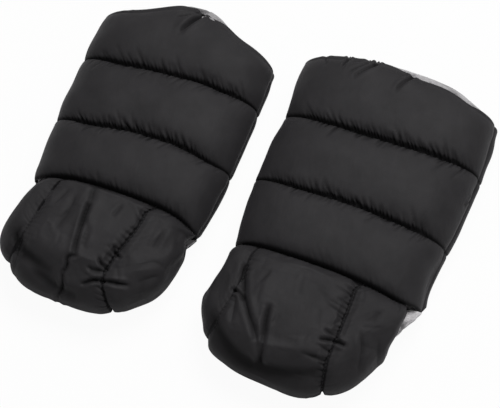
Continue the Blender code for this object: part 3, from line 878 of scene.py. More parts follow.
def cuff_pad(muff, kind, seed):
    """The upper or the under panel: wadding inside its shell. Also gives its rows of stitches."""
    fine = np.linspace(*CUFF_ANGLES[kind], ARC_STEPS)
    section, outward = cuff_surface(muff, fine, np.full_like(fine, 0.5))
    angles, width = even_path((fine, section + outward * PANEL_MIDDLE), CUFF_COLUMNS[kind])
    steps = crowded(CHANNEL_ROWS, CHANNEL_CROWDING)
    rows = [mix(first, last, steps)[:-1] for first, last in zip(SEAM_SHARES, SEAM_SHARES[1:])]
    rows = np.concatenate((*rows, [1.0]))
    straight = len(rows) - 1
    column, row = grid_numbers(CUFF_COLUMNS[kind], straight + ROLL_ROWS)
    angle = angles[column]
    along = rows[np.minimum(row, straight)]
    across = np.cos(angle)
    point, normal = cuff_surface(muff, angle, along)
    place = point + drawn(muff.side, across, along, kind == "under") + muff.origin
    gap, nearest = from_seams(along)
    beside = column / CUFF_COLUMNS[kind] * width
    line = hump(gap, CREASE_WIDTH)
    loft = cuff_loft(muff.side, kind, angle, along)
    calm = smooth_step(gap / CALM_REACH) * smooth_step((1 - along) / RIM_CALM)
    loft += PANEL_WAVE * rumple(column / CUFF_COLUMNS[kind], along, PANEL_CELLS, seed) * calm
    if kind == "under":
        loft = np.minimum(loft, SEAM_LOFT + HINGE_TAPER * along * CUFF_LENGTH)
    loft = np.maximum(loft - CREASE_DEPTH * line * mix(0.3, 1, 1 - across**4), LEAST_LOFT)
    outside = place + normal * loft[..., None]
    over = row > straight
    turn = np.clip((row - straight) / ROLL_ROWS * shell_turn(muff.side, kind, across), 0, 1)
    outside[over] = rim_roll(muff, kind, angle, turn, 0.0)[over] + muff.origin
    quilted = np.isin(row, [0, CHANNEL_ROWS, 2 * CHANNEL_ROWS])
    held = quilted | (row >= straight) | (np.abs(across) > SIDE_HELD)
    freedom = mix(0.1, 1.0, hump(gap, CALM_REACH)) * (1 - across**8)
    if kind == "under":
        freedom *= smooth_step(along / HINGE_CALM)
    outside += fill_cloth(outside, held, hump(gap, GATHER_REACH), freedom)
    gathered = np.interp(np.abs(across), (0.7, 0.95), (1, 0.05))
    folds = line_folds(muff.side, beside, along, width, seed)
    folds *= smooth_step(gap / STITCH_CALM) * gathered
    set_back = np.zeros_like(point)
    tucks = np.zeros_like(loft)
    if kind == "top":
        set_back[..., 1] = shell_set_back(muff.side, across) * smooth_step((along - 0.75) / 0.25)
        tucks = tuck_depth(TOP_TUCKS[muff.side], place - set_back - muff.origin)
    outside = carve(outside, folds + tucks, place, normal)
    inside = place + normal * PAD_INSIDE
    inside[over] = rim_roll(muff, kind, angle, turn, ROLLED_SHELL)[over] + muff.origin
    outside -= set_back
    inside -= set_back
    outside[..., 2] = np.maximum(outside[..., 2], 0)
    # Painted shade: the colour darkens in the crease of each quilt line, in the puckers and tucks, and
    # on the steep wall just wrist-side of each line, which faces away from the light.
    wrist_side = along > np.array(SEAM_SHARES)[nearest]
    wall_shade = WALL_SHADE * np.exp(-gap / WALL_SHADE_WIDTH) * gathered * wrist_side
    painted_shade = line + wall_shade + CREASE_SHADE * (folds + np.maximum(tucks, 0)) / MM
    painted_shade = np.clip(painted_shade, 0, 1) * ~over
    flat = np.stack((beside, along * CUFF_LENGTH * muff.size), -1)
    sewn = [
        outside[line_row] + THREAD_PROUD * normal[line_row]
        for line_row in (0, CHANNEL_ROWS, 2 * CHANNEL_ROWS)
    ]
    return closed_pad(f"{muff.side}_{kind}_pad", outside, inside, flat, SHELL, painted_shade), sewn


sewn_lines = {side: [] for side in SIDES}
for muff in MUFFS.values():
    for kind, fill in PANEL_FILLS.items():
        pad, lines = cuff_pad(muff, kind, PANEL_SEEDS[muff.side][kind])
        sewn_lines[muff.side] += lines
        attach(pad, muff.side + "_muff")
        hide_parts(f"{muff.side}_{kind}_shell", f"{muff.side}_{kind}_wadding")

# %% [markdown]
# ## Toe
# The toe is a padded cup, sewn from three gores with two darts between them. It could be
# sculpted, but one formula gives the cup, and the darts are then lines in its grid: the columns
# crowd along them and lean as the sewn lines do. The photograph also shows a few long tucks,
# where the nylon folded by itself. Each is a groove along a short path in plan.

# %% Shape of the toe
TOE_REACH = 101 * MM
TOE_FLARE = 3.4 * MM
SEAM_LEAN = 4 * MM
TIP_LEAN = 11 * MM
TOE_SWELL = 4 * MM
TOE_DROP = 14 * MM
TOE_POWER = 2.4
NOSE_POWER = 2.6
TOE_LOFT = 14 * MM
SLOT_LENGTH = 48 * MM
SLOT_RISE = 10.5 * MM
SLOT_DROP = 8.7 * MM
TOE_HEM_TOP = 16.8 * MM
TOE_HEM_ANGLE = -45
TOE_LAST_ANGLE = -64
FLAP_SIDE_RISE = 4 * MM
FLAP_FLAT_SHARE = 0.57
SEAM_BLEND = 13 * MM
DRIFT_FADE = 34 * MM
SEAM_ANGLES = {
    "left": ((-1.1, 165), (-0.6, 134), (0, 90), (0.4, 64), (1.3, 4)),
    "right": ((-1.1, 165), (-0.6, 134.5), (0, 90), (0.45, 61), (1.0, 31)),
}
EDGE_REACH = {"left": (1.0, 1.3), "right": (1.04, 1.0)}
TOE_SHIFTS = {
    "left": (
        (-1, 10, -1), (-0.85, 7.5, 1), (-0.6, 1.5, 4.2), (-0.35, 0, 6.5), (-0.1, -0.5, 7.0),
        (0.1, -0.6, 6.5), (0.28, -0.7, 4.2), (0.42, -2, 1.8), (0.6, -4.5, 3.5), (0.85, -4.5, 0.5),
        (1, -6, 0.5),
    ),
    "right": (
        (-1, 4.5, 0), (-0.85, 4.0, 0.5), (-0.6, -1.2, -3), (-0.3, -0.5, 1), (0, -0.2, 2.9),
        (0.25, -0.5, 2), (0.45, -2.5, 4), (0.6, -5, 4.4), (0.75, -8, 4.0), (0.92, -8.5, 2.0),
        (1, -7, 0.5),
    ),
}
SHIFT_STARTS = {"left": (0, 0), "right": (2 * MM, 22 * MM)}
SHIFT_ENDS = {"left": (14 * MM, 14 * MM), "right": (26 * MM, 68 * MM)}
DART_COLUMNS = (-0.6, 0.34)
DART_LINES = {
    "left": (
        ((-30, -0.56), (50, -0.54), (75, -0.52), (90, -0.47)),
        (
            (-30, 0.40), (0, 0.39), (19, 0.31), (34, 0.24), (50, 0.26), (66, 0.31), (82, 0.38),
            (90, 0.41),
        ),
    ),
    "right": (
        ((-30, -0.62), (40, -0.63), (61, -0.61), (90, -0.64)),
        ((-30, 0.36), (0, 0.34), (45, 0.31), (57, 0.33), (72, 0.31), (90, 0.28)),
    ),
}
DART_LINE_SPAN = (-70, 95)


def side_rise(across, half_width):
    """How far the hem and the flap curl up towards their side edges."""
    flat = FLAP_FLAT_SHARE * half_width
    beyond = np.maximum(0, np.abs(across) - flat) / (half_width - flat)
    return FLAP_SIDE_RISE * beyond**2


def dart_line(side, number, angle):
    """The share across the toe at which a dart lies, for each angle round the tip."""
    return even_curve(angle, DART_LINES[side][number], DART_LINE_SPAN)


def toe_cup(muff, share, angle):
    """Points and outward normals of the toe's hand side, with share from edge to edge."""
    turn = np.radians(angle)
    above = angle > 0
    rise = np.where(above, TOP_RISE + TOE_SWELL * np.cos(turn), TOE_DROP)
    edge = np.where(above, SLOT_RISE / TOP_RISE, SLOT_DROP / TOE_DROP)
    edge = mix(SLOT_LENGTH / TOE_REACH, edge, np.sin(turn) ** 2)
    swing = share * np.arccos(edge ** (TOE_POWER / 2))
    across = signed_power(np.sin(swing), 2 / TOE_POWER)
    radial = np.cos(swing) ** (2 / TOE_POWER)
    ahead = np.maximum(0, np.cos(turn)) ** (2 / NOSE_POWER)
    up = signed_power(np.sin(turn), 2 / NOSE_POWER)
    half_width = muff.size * (TOE_SEAM_WIDTH / 2 - SEAM_LOFT + TOE_FLARE)
    point = np.stack((
        half_width * across - mix(SEAM_LEAN, TIP_LEAN, ahead),
        -muff.size * TOE_REACH * radial * ahead,
        SIDE_SEAM_HEIGHT + rise * radial * up,
    ), -1)
    normal = np.stack((
        signed_power(across, TOE_POWER - 1) / half_width,
        -(radial ** (TOE_POWER - 1)) * ahead ** (NOSE_POWER - 1) / TOE_REACH,
        radial ** (TOE_POWER - 1) * signed_power(up, NOSE_POWER - 1) / rise,
    ), -1)
    normal /= np.linalg.norm(normal, axis=-1, keepdims=True)
    hem = angle < TOE_HEM_ANGLE
    point[hem, 2] = (TOE_HEM_TOP + side_rise(half_width * across, half_width))[hem]
    normal[hem] = (0, 0, -1)
    return point, normal


def toe_surface(muff, share, angle):
    """The toe's hand side, drawn in at its seam to the end of the cuff."""
    point, normal = toe_cup(muff, share, angle)
    seam_angle = np.radians(np.interp(share, *zip(*SEAM_ANGLES[muff.side])))
    seam, seam_normal = cuff_surface(muff, seam_angle, np.zeros_like(share))
    seam[..., 1] = point[..., 1]
    near = np.where(angle > 0, 1 - smooth_step(-point[..., 1] / SEAM_BLEND), 0)[..., None]
    normal = mix(normal, seam_normal, near)
    fading = np.where(angle > 0, 1 - smooth_step(-point[..., 1] / DRIFT_FADE), 0)[..., None]
    point = mix(point, seam, near)
    point += drawn(muff.side, np.cos(seam_angle), np.zeros_like(share)) * fading
    shift_start = np.interp(share, (-1, 1), SHIFT_STARTS[muff.side])
    shift_end = np.interp(share, (-1, 1), SHIFT_ENDS[muff.side])
    ahead = smooth_step((-point[..., 1] - shift_start) / (shift_end - shift_start))
    shares, *shifts = zip(*TOE_SHIFTS[muff.side])
    for axis, shift in enumerate(shifts):
        point[..., axis] += even_curve(share, tuple(zip(shares, shift)), (-1, 1)) * ahead * MM
    return point, normal / np.linalg.norm(normal, axis=-1, keepdims=True)


# %% Long and loose folds of the toe
LOOSE_FOLDS = 18
TOE_TUCKS = {
    "left": (
        (((-19, -3), (-17, -18), (-17, -33), (-16, -44)), 4.2, 2.0),
        (((-17, -22), (-16, -38), (-15, -50), (-13, -64), (-11, -69)), 2.6, 3.4),
        (((-11, -69), (-17, -73), (-14, -80), (-17, -86), (-12, -96), (-17, -104)), 2.2, 3.6),
        (((-13, -36), (-8, -48), (-8, -60)), 3.0, 1.6),
        (((-31, -20), (-32, -37), (-36, -52)), 4.0, 1.2),
        (((-40, -14), (-46, -30)), 3.0, 1.0),
        (((20, -80), (31, -79), (41, -76)), 2.4, 3.2),
        (((19, -80), (11, -83), (3, -89)), 2.2, 3.2),
        (((19, -70), (13, -68), (9, -64)), 2.2, 2.4),
        (((15, -74), (9, -76), (3, -74)), 2.4, 1.8),
        (((26, -57), (21, -54), (18, -50)), 2.0, 2.0),
        (((-71, -64), (-60, -77), (-44, -84), (-24, -88)), 9.0, 3.2),
        (((-66, -58), (-69, -66), (-66, -72)), 3.0, 1.0),
        (((-64, -76), (-60, -88)), 2.2, 1.4),
        (((-40, -92), (-18, -97), (2, -99)), 6.0, 2.2),
        (((52, -20), (50, -38)), 3.0, 1.2),
        (((10, -12), (6, -24)), 2.4, 1.0),
        (((62, -58), (48, -70)), 4.0, 1.2),
    ),
    "right": (
        (((-69, -26), (-64, -44), (-55, -62), (-43, -76), (-34, -89), (-27, -103)), 3.4, 2.9),
        (((-36, -56), (-35, -66), (-31, -83), (-27, -103)), 3.0, 3.6),
        (((-71, -49), (-64, -51), (-59, -56)), 2.2, 2.4),
        (((29, -63), (21, -66), (14, -68)), 2.4, 2.8),
        (((28, -60), (20, -60), (15, -58)), 2.0, 2.0),
        (((29, -64), (36, -65)), 2.4, 3.0),
        (((45, -50), (52, -62), (53, -78)), 3.4, 1.4),
        (((-81, -76), (-68, -92), (-47, -104), (-22, -106), (4, -102), (26, -92)), 10.0, 3.6),
        (((-66, -58), (-62, -78)), 3.2, 1.6),
        (((-46, -24), (-52, -38)), 3.4, 1.0),
        (((62, -50), (66, -64)), 4.0, 1.0),
    ),
}


def loose_folds(seed, count):
    """Short soft folds of thin nylon, most of them running from the seam towards the tip."""
    draw = np.random.default_rng(seed)
    folds = []
    for _ in range(count):
        middle = np.array((draw.uniform(-72, 72), draw.uniform(-92, -12)))
        turn = draw.normal(0.25, 0.45)
        half = draw.uniform(5, 13) * np.array((math.sin(turn), math.cos(turn)))
        bend = draw.normal(0, 1.5) * np.array((math.cos(turn), -math.sin(turn)))
        width = draw.uniform(2, 4)
        deep = draw.uniform(0.2, 0.65)
        folds.append(((middle - half, middle + bend, middle + half), width, deep))
    return tuple(folds)


# %% Gores and rows of the toe
TOE_COLUMNS = (54, 116, 80)
TOE_ROWS = 176
ROW_STEPS = ((0, 0.8, 1), (0, 0.62, 1))
FIRST_DEGREES = 2
FIRST_STEPS = 400
LATER_STEPS = 1500
DART_SWELL = 0.86
EDGE_SWELL = 0.55
GORE_POWER = 0.7
LEAN_FADE = 20


def gore_swell(straight):
    """Share of full loft across the toe: a little less at the darts, and less at the side edges."""
    left, right = DART_COLUMNS
    swells = (EDGE_SWELL, DART_SWELL, DART_SWELL, EDGE_SWELL)
    least = np.interp(straight, (-1, left, right, 1), swells)
    beyond = (np.abs(straight) > 0.9) * smooth_step((np.abs(straight) - 0.9) / 0.1)
    full = mix(least, 1, seam_swell(straight, (-1.0, left, right, 1.0), GORE_POWER))
    return full * (1 - 0.35 * beyond**2)


def toe_rows(muff, outward_by, count):
    """Angles round the toe's tip, from its seam to its hem, that step evenly along its spine.

    The cup stands upright at its seam, so its first degrees are followed in finer steps.
    """
    first = 90 - FIRST_DEGREES * np.linspace(0, 1, FIRST_STEPS) ** 2.2
    later = np.linspace(90 - FIRST_DEGREES, TOE_LAST_ANGLE, LATER_STEPS)[1:]
    fine = np.concatenate((first, later))
    spine, outward = toe_cup(muff, np.zeros_like(fine), fine)
    return even_path((fine, spine + outward * outward_by), count)


def gore_columns():
    """Shares across the toe, crowded at its edges and darts, on a cloth whose darts are straight."""
    left, right = DART_COLUMNS
    spans = zip((-1.0, left, right), (left, right, 1.0), TOE_COLUMNS)
    columns = [mix(first, last, crowded(count, 0.5))[:-1] for first, last, count in spans]
    return np.concatenate((*columns, [1.0]))


def leaned(side, straight, angle, dart_shares):
    """Shares across the toe, once its columns lean as its darts do. Below the tip they stand back."""
    left, right = DART_COLUMNS
    share = straight.copy()
    for number, dart in enumerate(DART_COLUMNS):
        pull = [float(number == other) for other in range(2)]
        follows = np.interp(straight, (-1, left, right, 1), (0, *pull, 0))
        share += follows * (dart_shares[number] - dart)
    reach_left, reach_right = EDGE_REACH[side]
    share *= np.interp(straight, (-1, left, right, 1), (reach_left, 1, 1, reach_right))
    off_middle = np.abs(straight) > right
    back = mix(share, straight, np.clip(-angle / LEAN_FADE, 0, 1) * off_middle)
    return np.where(angle < 0, back, share)


# %% Darts of the toe
DART_DEPTH = 3.2 * MM
DART_WIDTH = 0.85 * MM
DART_VALLEY_DEPTH = 1.6 * MM
DART_VALLEY_WIDTH = 4.5 * MM
DART_CALM = 0.7 * MM
DART_END_ANGLE = -30
DART_END_SPAN = 20
DART_PUCKERS = 3.4 * MM
DART_PUCKER_SPACING = 4.4 * MM
DART_PUCKER_REACH = 9.5 * MM
DART_PUCKER_LEAN = -0.25
DART_STRENGTHS = {"left": ((0.4, 0.6), (1.0, 0.4)), "right": ((0.3, 0.6), (1.0, 0.3))}
DART_MARKS = {
    "left": (
        (
            (20, 0.8), (38, 0.6), (45, 0.2), (63, 0.25), (65, 1), (71, 1), (73, 0.15), (79, 0.15),
            (81, 1), (90, 0.9),
        ),
        ((0, 1), (90, 0.8)),
    ),
    "right": (((0, 0.3), (54, 0.3), (60, 0.9), (90, 0.7)), ((0, 1), (90, 0.7))),
}


def dart_folds(side, beside, beyond, half, length, seed):
    """How deep the puckers cut on both sides of each dart. beyond is how far past it a point lies."""
    gaps = np.abs(beyond) * half
    folds = np.zeros_like(beside)
    for number in range(2):
        for sense in (-1, 1):
            chosen = (gaps.argmin(axis=0) == number) & (sense * beyond[number] >= 0)
            strength = DART_PUCKERS * DART_STRENGTHS[side][number][sense > 0]
            folds[chosen] = strength * puckers(
                beside[chosen], gaps.min(axis=0)[chosen], length, seed + 10 * number + sense,
                DART_PUCKER_SPACING, DART_PUCKER_REACH, DART_PUCKER_LEAN,
            )
    return folds


# %% Padding of the toe
TOE_MIDDLE = 12 * MM
FINE_ROWS = 1200
TOE_CELLS = (9, 8)
TOE_WAVE = 1.3 * MM
TOE_PUCKERS = 1.6 * MM
TOE_GATHER_REACH = 9 * MM
SEAM_SWELL = 8 * MM
SEAM_WAVE_START = 10 * MM
SEAM_CALM = 1.5 * MM
HEM_THIN_ANGLE = -46
HEM_THIN_SPAN = 26
HEM_HELD = -44
FILL_END = -40
STITCH_END = -20
FOLD_END = -5


def toe_pad(muff, seed):
    """The toe's wadding inside its nylon shell. Also gives the stitches of its darts."""
    angles, length = toe_rows(muff, TOE_MIDDLE, FINE_ROWS)
    steps = np.interp(np.linspace(0, 1, TOE_ROWS + 1), *ROW_STEPS)
    rows = np.interp(steps, np.linspace(0, 1, FINE_ROWS + 1), angles)
    columns = gore_columns()
    column, row = grid_numbers(len(columns) - 1, TOE_ROWS)
    angle = rows[row]
    straight = columns[column]
    dart_shares = [dart_line(muff.side, number, angle) for number in range(2)]
    share = leaned(muff.side, straight, angle, dart_shares)
    place, normal = toe_surface(muff, share, angle)
    ahead = -np.minimum(toe_cup(muff, share, angle)[0][..., 1], 0)
    fresh = 1 - np.exp(-ahead / SEAM_SWELL)
    under = np.clip((angle - HEM_THIN_ANGLE) / HEM_THIN_SPAN, 0, 1) ** 0.6
    swell = np.where(angle > 0, fresh, 1) * under * gore_swell(straight)
    loft = SEAM_LOFT + (TOE_LOFT - SEAM_LOFT) * swell
    half = muff.size * TOE_SEAM_WIDTH / 2
    seam_gap = np.where(angle > 0, ahead, 1)
    beyond = np.stack([share - dart for dart in dart_shares])
    dart_gaps = np.abs(beyond) * half
    dart_gap = dart_gaps.min(axis=0)
    visible = smooth_step((angle - DART_END_ANGLE) / DART_END_SPAN)
    marks = [np.interp(angle, *zip(*mark)) for mark in DART_MARKS[muff.side]]
    marked = np.where(dart_gaps.argmin(axis=0) == 0, *marks)
    dart_groove = hump(dart_gap, DART_WIDTH) * visible * marked
    seam_groove = hump(seam_gap, CREASE_WIDTH)
    loft -= DART_VALLEY_DEPTH * hump(dart_gap, DART_VALLEY_WIDTH) * visible
    loft -= DART_DEPTH * dart_groove + CREASE_DEPTH * seam_groove
    wave = rumple((share + 1) / 2, steps[row], TOE_CELLS, seed)
    loft += TOE_WAVE * wave * smooth_step(seam_gap / SEAM_WAVE_START)
    place += muff.origin
    outside = place + normal * np.maximum(loft, LEAST_LOFT)[..., None]
    darts = np.any([np.isclose(straight, dart) for dart in DART_COLUMNS], axis=0) & (visible > 0.5)
    edges = np.isin(column, [0, len(columns) - 1])
    held = (row == 0) | darts | edges | (angle < HEM_HELD)
    near = np.minimum(dart_gap, seam_gap)
    gathered = mix(0.35, 1, hump(near, TOE_GATHER_REACH))
    freedom = mix(0.7, 1.0, hump(near, CALM_REACH)) * (angle > FILL_END)
    outside += fill_cloth(outside, held, gathered, freedom, growth=0.16, frames=20)
    beside = steps[row] * length
    folds = dart_folds(muff.side, beside, beyond, half, length, seed)
    folds *= visible * smooth_step(dart_gap / DART_CALM) * mix(0.3, 1, marked)
    across = (share + 1) * half
    below = puckers(across, seam_gap, 2 * half, seed + 40)
    folds += TOE_PUCKERS * below * smooth_step(seam_gap / SEAM_CALM)
    long_folds = TOE_TUCKS[muff.side] + loose_folds(seed + 7, LOOSE_FOLDS)
    tucks = tuck_depth(long_folds, outside - muff.origin) * (angle > FOLD_END)
    outside = carve(outside, folds + tucks, place, normal)
    inside = place + normal * PAD_INSIDE
    # Painted shade: the colour darkens in the darts, along the seam to the cuff, and in the puckers and
    # tucks.
    painted_shade = dart_groove + seam_groove + CREASE_SHADE * (folds + np.maximum(tucks, 0)) / MM
    painted_shade = np.clip(painted_shade, 0, 1)
    flat = np.stack((across, beside), -1)
    upper = int((angle[:, 0] > STITCH_END).sum())
    sewn = [
        outside[:upper, dart] + THREAD_PROUD * normal[:upper, dart]
        for dart in np.cumsum(TOE_COLUMNS)[:2]
    ]
    return closed_pad(f"{muff.side}_toe_pad", outside, inside, flat, SHELL, painted_shade), sewn


for muff in MUFFS.values():
    toe, lines = toe_pad(muff, 101 + muff.seed_step)
    sewn_lines[muff.side] += lines
    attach(toe, muff.side + "_muff")
    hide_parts(muff.side + "_toe_shell", muff.side + "_toe_wadding")

# %% [markdown]
# ## Linings
# Fleece lines the hand side of the cuff and the toe. In the cuff it is a sleeve that rolls
# outwards over the wrist's padding, and the shell covers part of the roll. Each lining is a
# grid with its own thickness, wavy as fleece is, and its pile is in the material.

# %% Sleeve of the cuff
LINING_COLUMNS = 340
LINING_ROWS = 64
LINING_ROLL_ROWS = 14
LINING_HEM_ROWS = 8
LINING_ARC_STEPS = 4001
ROLL_HEM = 11 * MM
LINING_WAVE = 0.8 * MM
LINING_CELLS = (26, 9)
ROLL_GAP = 0.5 * MM
HIDDEN_GAP = 3.0 * MM
LINING_START = 0.012
PILE_CELLS = (90, 44)
PILE_HEIGHT = 0.35 * MM
TUCK_PRESS = 1.35
# Painted shade in streaks along the roll, where the fleece wrinkles: their size and darkness.
STREAK_CELLS = (40, 34)
STREAK_SHADE = 0.37
# How much painted shade the whole sleeve lining takes, more on the left, to bring the fleece's lightened
# colour back down on the sleeves.
SLEEVE_SHADE = {"left": 0.57, "right": 0.40}


def sleeve_lining(muff, seed):
    """The cuff's fleece sleeve with its rolled rim."""
    fine = np.linspace(math.pi, -math.pi, LINING_ARC_STEPS)
    section = cuff_surface(muff, fine, np.full_like(fine, 0.5))[0]
    angles, width = even_path((fine, section), LINING_COLUMNS)
    last = LINING_ROWS + LINING_ROLL_ROWS
    column, row = grid_numbers(LINING_COLUMNS, last + LINING_HEM_ROWS)
    angle = angles[column]
    turned_under = np.clip((row - last) / LINING_HEM_ROWS, 0, 1) * ROLL_HEM / CUFF_LENGTH
    along = np.clip(row / LINING_ROWS, LINING_START, 1.0) - turned_under
    across = np.cos(angle)
    point, normal = cuff_surface(muff, angle, along)
    round_share = column / LINING_COLUMNS
    kinds = np.where(np.sin(angle) < -1e-9, "under", "top")
    ends = np.minimum(1, 6 * np.minimum(round_share, 1 - round_share))
    wave = rumple(round_share, along, LINING_CELLS, seed) * LINING_WAVE * ends
    inner = point - normal * (wave * smooth_step((1 - along) / 0.06))[..., None]
    outer = point + normal * LINING_THICKNESS
    turn = 1 - np.clip((row - LINING_ROWS) / LINING_ROLL_ROWS, 0, 1)
    for kind in ("top", "under"):
        move = drawn(muff.side, across, along, kind == "under")
        hidden = smooth_step((shell_turn(muff.side, kind, across) - turn) / 0.2)
        if kind == "top":
            beyond = turned_under * CUFF_LENGTH - shell_set_back(muff.side, across)
            hidden = np.maximum(hidden, smooth_step((beyond + 0.5 * MM) / (1.5 * MM)))
        gap = mix(ROLL_GAP, HIDDEN_GAP, hidden)[..., None]
        chosen = kinds == kind
        inner[chosen] += move[chosen]
        outer[chosen] += move[chosen]
        rolled = chosen & (row > LINING_ROWS)
        inner[rolled] = rim_roll(muff, kind, angle, turn, gap)[rolled]
        outer[rolled] = rim_roll(muff, kind, angle, turn, gap + LINING_THICKNESS)[rolled]
        hem = chosen & (row > last)
        top = point + move + normal * (cuff_loft(muff.side, kind, angle, along)[..., None] - gap)
        inner[hem] = top[hem]
        outer[hem] = (top - normal * LINING_THICKNESS)[hem]
    row_share = row / (last + LINING_HEM_ROWS)
    pile = rumple(round_share, row_share, PILE_CELLS, seed + 1) * PILE_HEIGHT
    tucks = np.maximum(tuck_depth(TOP_TUCKS[muff.side], inner), 0) * (kinds == "top")
    inner += normal * ((pile - TUCK_PRESS * tucks) * (row > LINING_ROWS))[..., None]
    flat = np.stack((round_share * width, row / LINING_ROWS * CUFF_LENGTH), -1)
    # Dark streaks on the roll are painted shade for its wrinkles.
    streak_shade = np.clip(rumple(round_share, row_share, STREAK_CELLS, seed + 2), 0, 1)
    on_roll = smooth_step((row - LINING_ROWS) / 4)
    # The sleeve's painted shade: the darkening of the whole sleeve, and the streaks on the roll.
    painted_fleece_shade = SLEEVE_SHADE[muff.side] + streak_shade * STREAK_SHADE * on_roll
    name = f"{muff.side}_sleeve_lining"
    piece = closed_pad(name, inner + muff.origin, outer + muff.origin, flat, LINING, painted_fleece_shade, joined=True)
    return piece


# %% Lining of the toe
TOE_LINING_COLUMNS = 80
TOE_LINING_ROWS = 70
TOE_LINING_CELLS = (12, 9)


def toe_lining(muff, seed):
    """The fleece inside the toe cup."""
    angles, length = toe_rows(muff, 0, TOE_LINING_ROWS)
    column, row = grid_numbers(TOE_LINING_COLUMNS, TOE_LINING_ROWS)
    share = column / TOE_LINING_COLUMNS * 2 - 1
    point, normal = toe_surface(muff, share, angles[row])
    wave = rumple((share + 1) / 2, row / TOE_LINING_ROWS, TOE_LINING_CELLS, seed) * LINING_WAVE
    wave *= np.cos(share * math.pi / 2)
    width = muff.size * TOE_SEAM_WIDTH
    flat = np.stack(((share + 1) / 2 * width, row / TOE_LINING_ROWS * length), -1)
    inner = point - normal * wave[..., None] + muff.origin
    outer = point + normal * LINING_THICKNESS + muff.origin
    piece = closed_pad(f"{muff.side}_toe_inner_lining", inner, outer, flat, LINING)
    return piece


for muff in MUFFS.values():
    sleeve = sleeve_lining(muff, 201 + muff.seed_step)
    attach(sleeve, muff.side + "_muff")
    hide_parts(muff.side + "_cuff_lining")
    inner = toe_lining(muff, 211 + muff.seed_step)
    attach(inner, muff.side + "_muff")
    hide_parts(muff.side + "_toe_lining")

# %% [markdown]
# ## Flap
# Under the toe, a padded flap goes on from the cuff's underside and closes below the handlebar
# with two press studs. It turns about the end of the cuff, so it is a piece of its own. At the
# right muff's side slot the photograph shows some of its fleece, so a loose fold rises there.

# %% Cut of the flap
FLAP_LENGTH = 88 * MM
FLAP_MARGIN = 2 * MM
FLAP_TOP = 7.6 * MM
FLAP_LOFT = 7 * MM
FLAP_ROOT = 10.5 * MM
FLAP_OUTLINE = (
    (0.0, 0.93), (0.1, 0.95), (0.3, 0.90), (0.5, 0.82), (0.7, 0.72), (0.85, 0.60), (0.95, 0.46),
    (1.0, 0.34),
)
FLAP_HEM_SHARE = 0.62
FLAP_ROOT_GAP = 0.3 * MM
FLAP_TRIM = 7 * MM
FLAP_FAR_TRIMS = {"left": 0.4, "right": 1.0}
FLAP_COLUMNS = 150
FLAP_ROWS = 52


def flap_sheet(muff):
    """Places on the flap, across and along it, and its upper points."""
    column, row = grid_numbers(FLAP_COLUMNS, FLAP_ROWS)
    share = column / FLAP_COLUMNS * 2 - 1
    along = row / FLAP_ROWS
    half_width = muff.size * (TOE_SEAM_WIDTH / 2 - FLAP_MARGIN)
    across = share * half_width * even_curve(along, FLAP_OUTLINE, (0, 1))
    trim = np.interp(along, (0, 0.12, 0.4, 0.6), (0, 1, 1, FLAP_FAR_TRIMS[muff.side]))
    across -= FLAP_TRIM * smooth_step(share) * trim
    height = mix(FLAP_ROOT, FLAP_TOP, np.minimum(1, along / FLAP_HEM_SHARE))
    height += side_rise(across, half_width)
    point = np.stack((across, -muff.size * along * FLAP_LENGTH - FLAP_ROOT_GAP, height), -1)
    return share, along, point + muff.origin


# %% Padding of the flap
FLAP_CELLS = (8, 5)
FLAP_WAVE = 0.5 * MM
FLAP_PUCKER_SHARE = 0.5
HEM_CALM = 1.2 * MM


def flap_pad(muff, seed):
    """The flap's wadding inside its nylon shell, on the side away from the hand."""
    share, along, point = flap_sheet(muff)
    swell = np.sin(np.pi * np.clip(along / FLAP_HEM_SHARE, 0, 1)) ** 0.8 * (1 - np.abs(share) ** 5)
    loft = SEAM_LOFT + (FLAP_LOFT - SEAM_LOFT) * np.where(along < FLAP_HEM_SHARE, swell, 0)
    hem_gap = np.abs(along - FLAP_HEM_SHARE) * FLAP_LENGTH
    beside = (share + 1) * TOE_SEAM_WIDTH / 2
    folds = puckers(beside, hem_gap, TOE_SEAM_WIDTH, seed) * smooth_step(hem_gap / HEM_CALM)
    loft -= FLAP_PUCKER_SHARE * TOE_PUCKERS * folds * (1 - share**6)
    wave = FLAP_WAVE * rumple((share + 1) / 2, along, FLAP_CELLS, seed)
    loft += wave * smooth_step(along / 0.12)
    down = np.array((0, 0, -1.0))
    outside = point + down * loft[..., None]
    outside[..., 2] = np.maximum(outside[..., 2], 0.1 * MM)
    flat = np.stack((beside, along * FLAP_LENGTH), -1)
    # Painted shade along the hem's crease and in its puckers.
    painted_shade = np.clip(0.3 * folds + hump(hem_gap, CREASE_WIDTH), 0, 1)
    inside = point + down * PAD_INSIDE
    return closed_pad(f"{muff.side}_flap_pad", outside, inside, flat, SHELL, painted_shade)


# %% Fleece of the flap
FLEECE_WAVE = 0.7 * MM
FLEECE_CELLS = (13, 8)
CRUMPLE_HEIGHT = 0.8 * MM
CRUMPLE_CELLS = (30, 24)
PATCH_RISE = 22.5 * MM
PATCH_REACH = 12 * MM
PATCH_REACHES = ((0, 0.3), (0.04, 0.95), (0.14, 1), (0.22, 0.75), (0.34, 0.6), (0.4, 0.1))
PATCH_START = 0.78
PATCH_END = 0.42
PATCH_FOLD = 1.6 * MM
PATCH_SHADE = 0.9
PATCH_CELLS = (64, 10)
FOLD_PLACE = 0.21
FOLD_SLANT = 0.6
FOLD_SPAN = 0.028


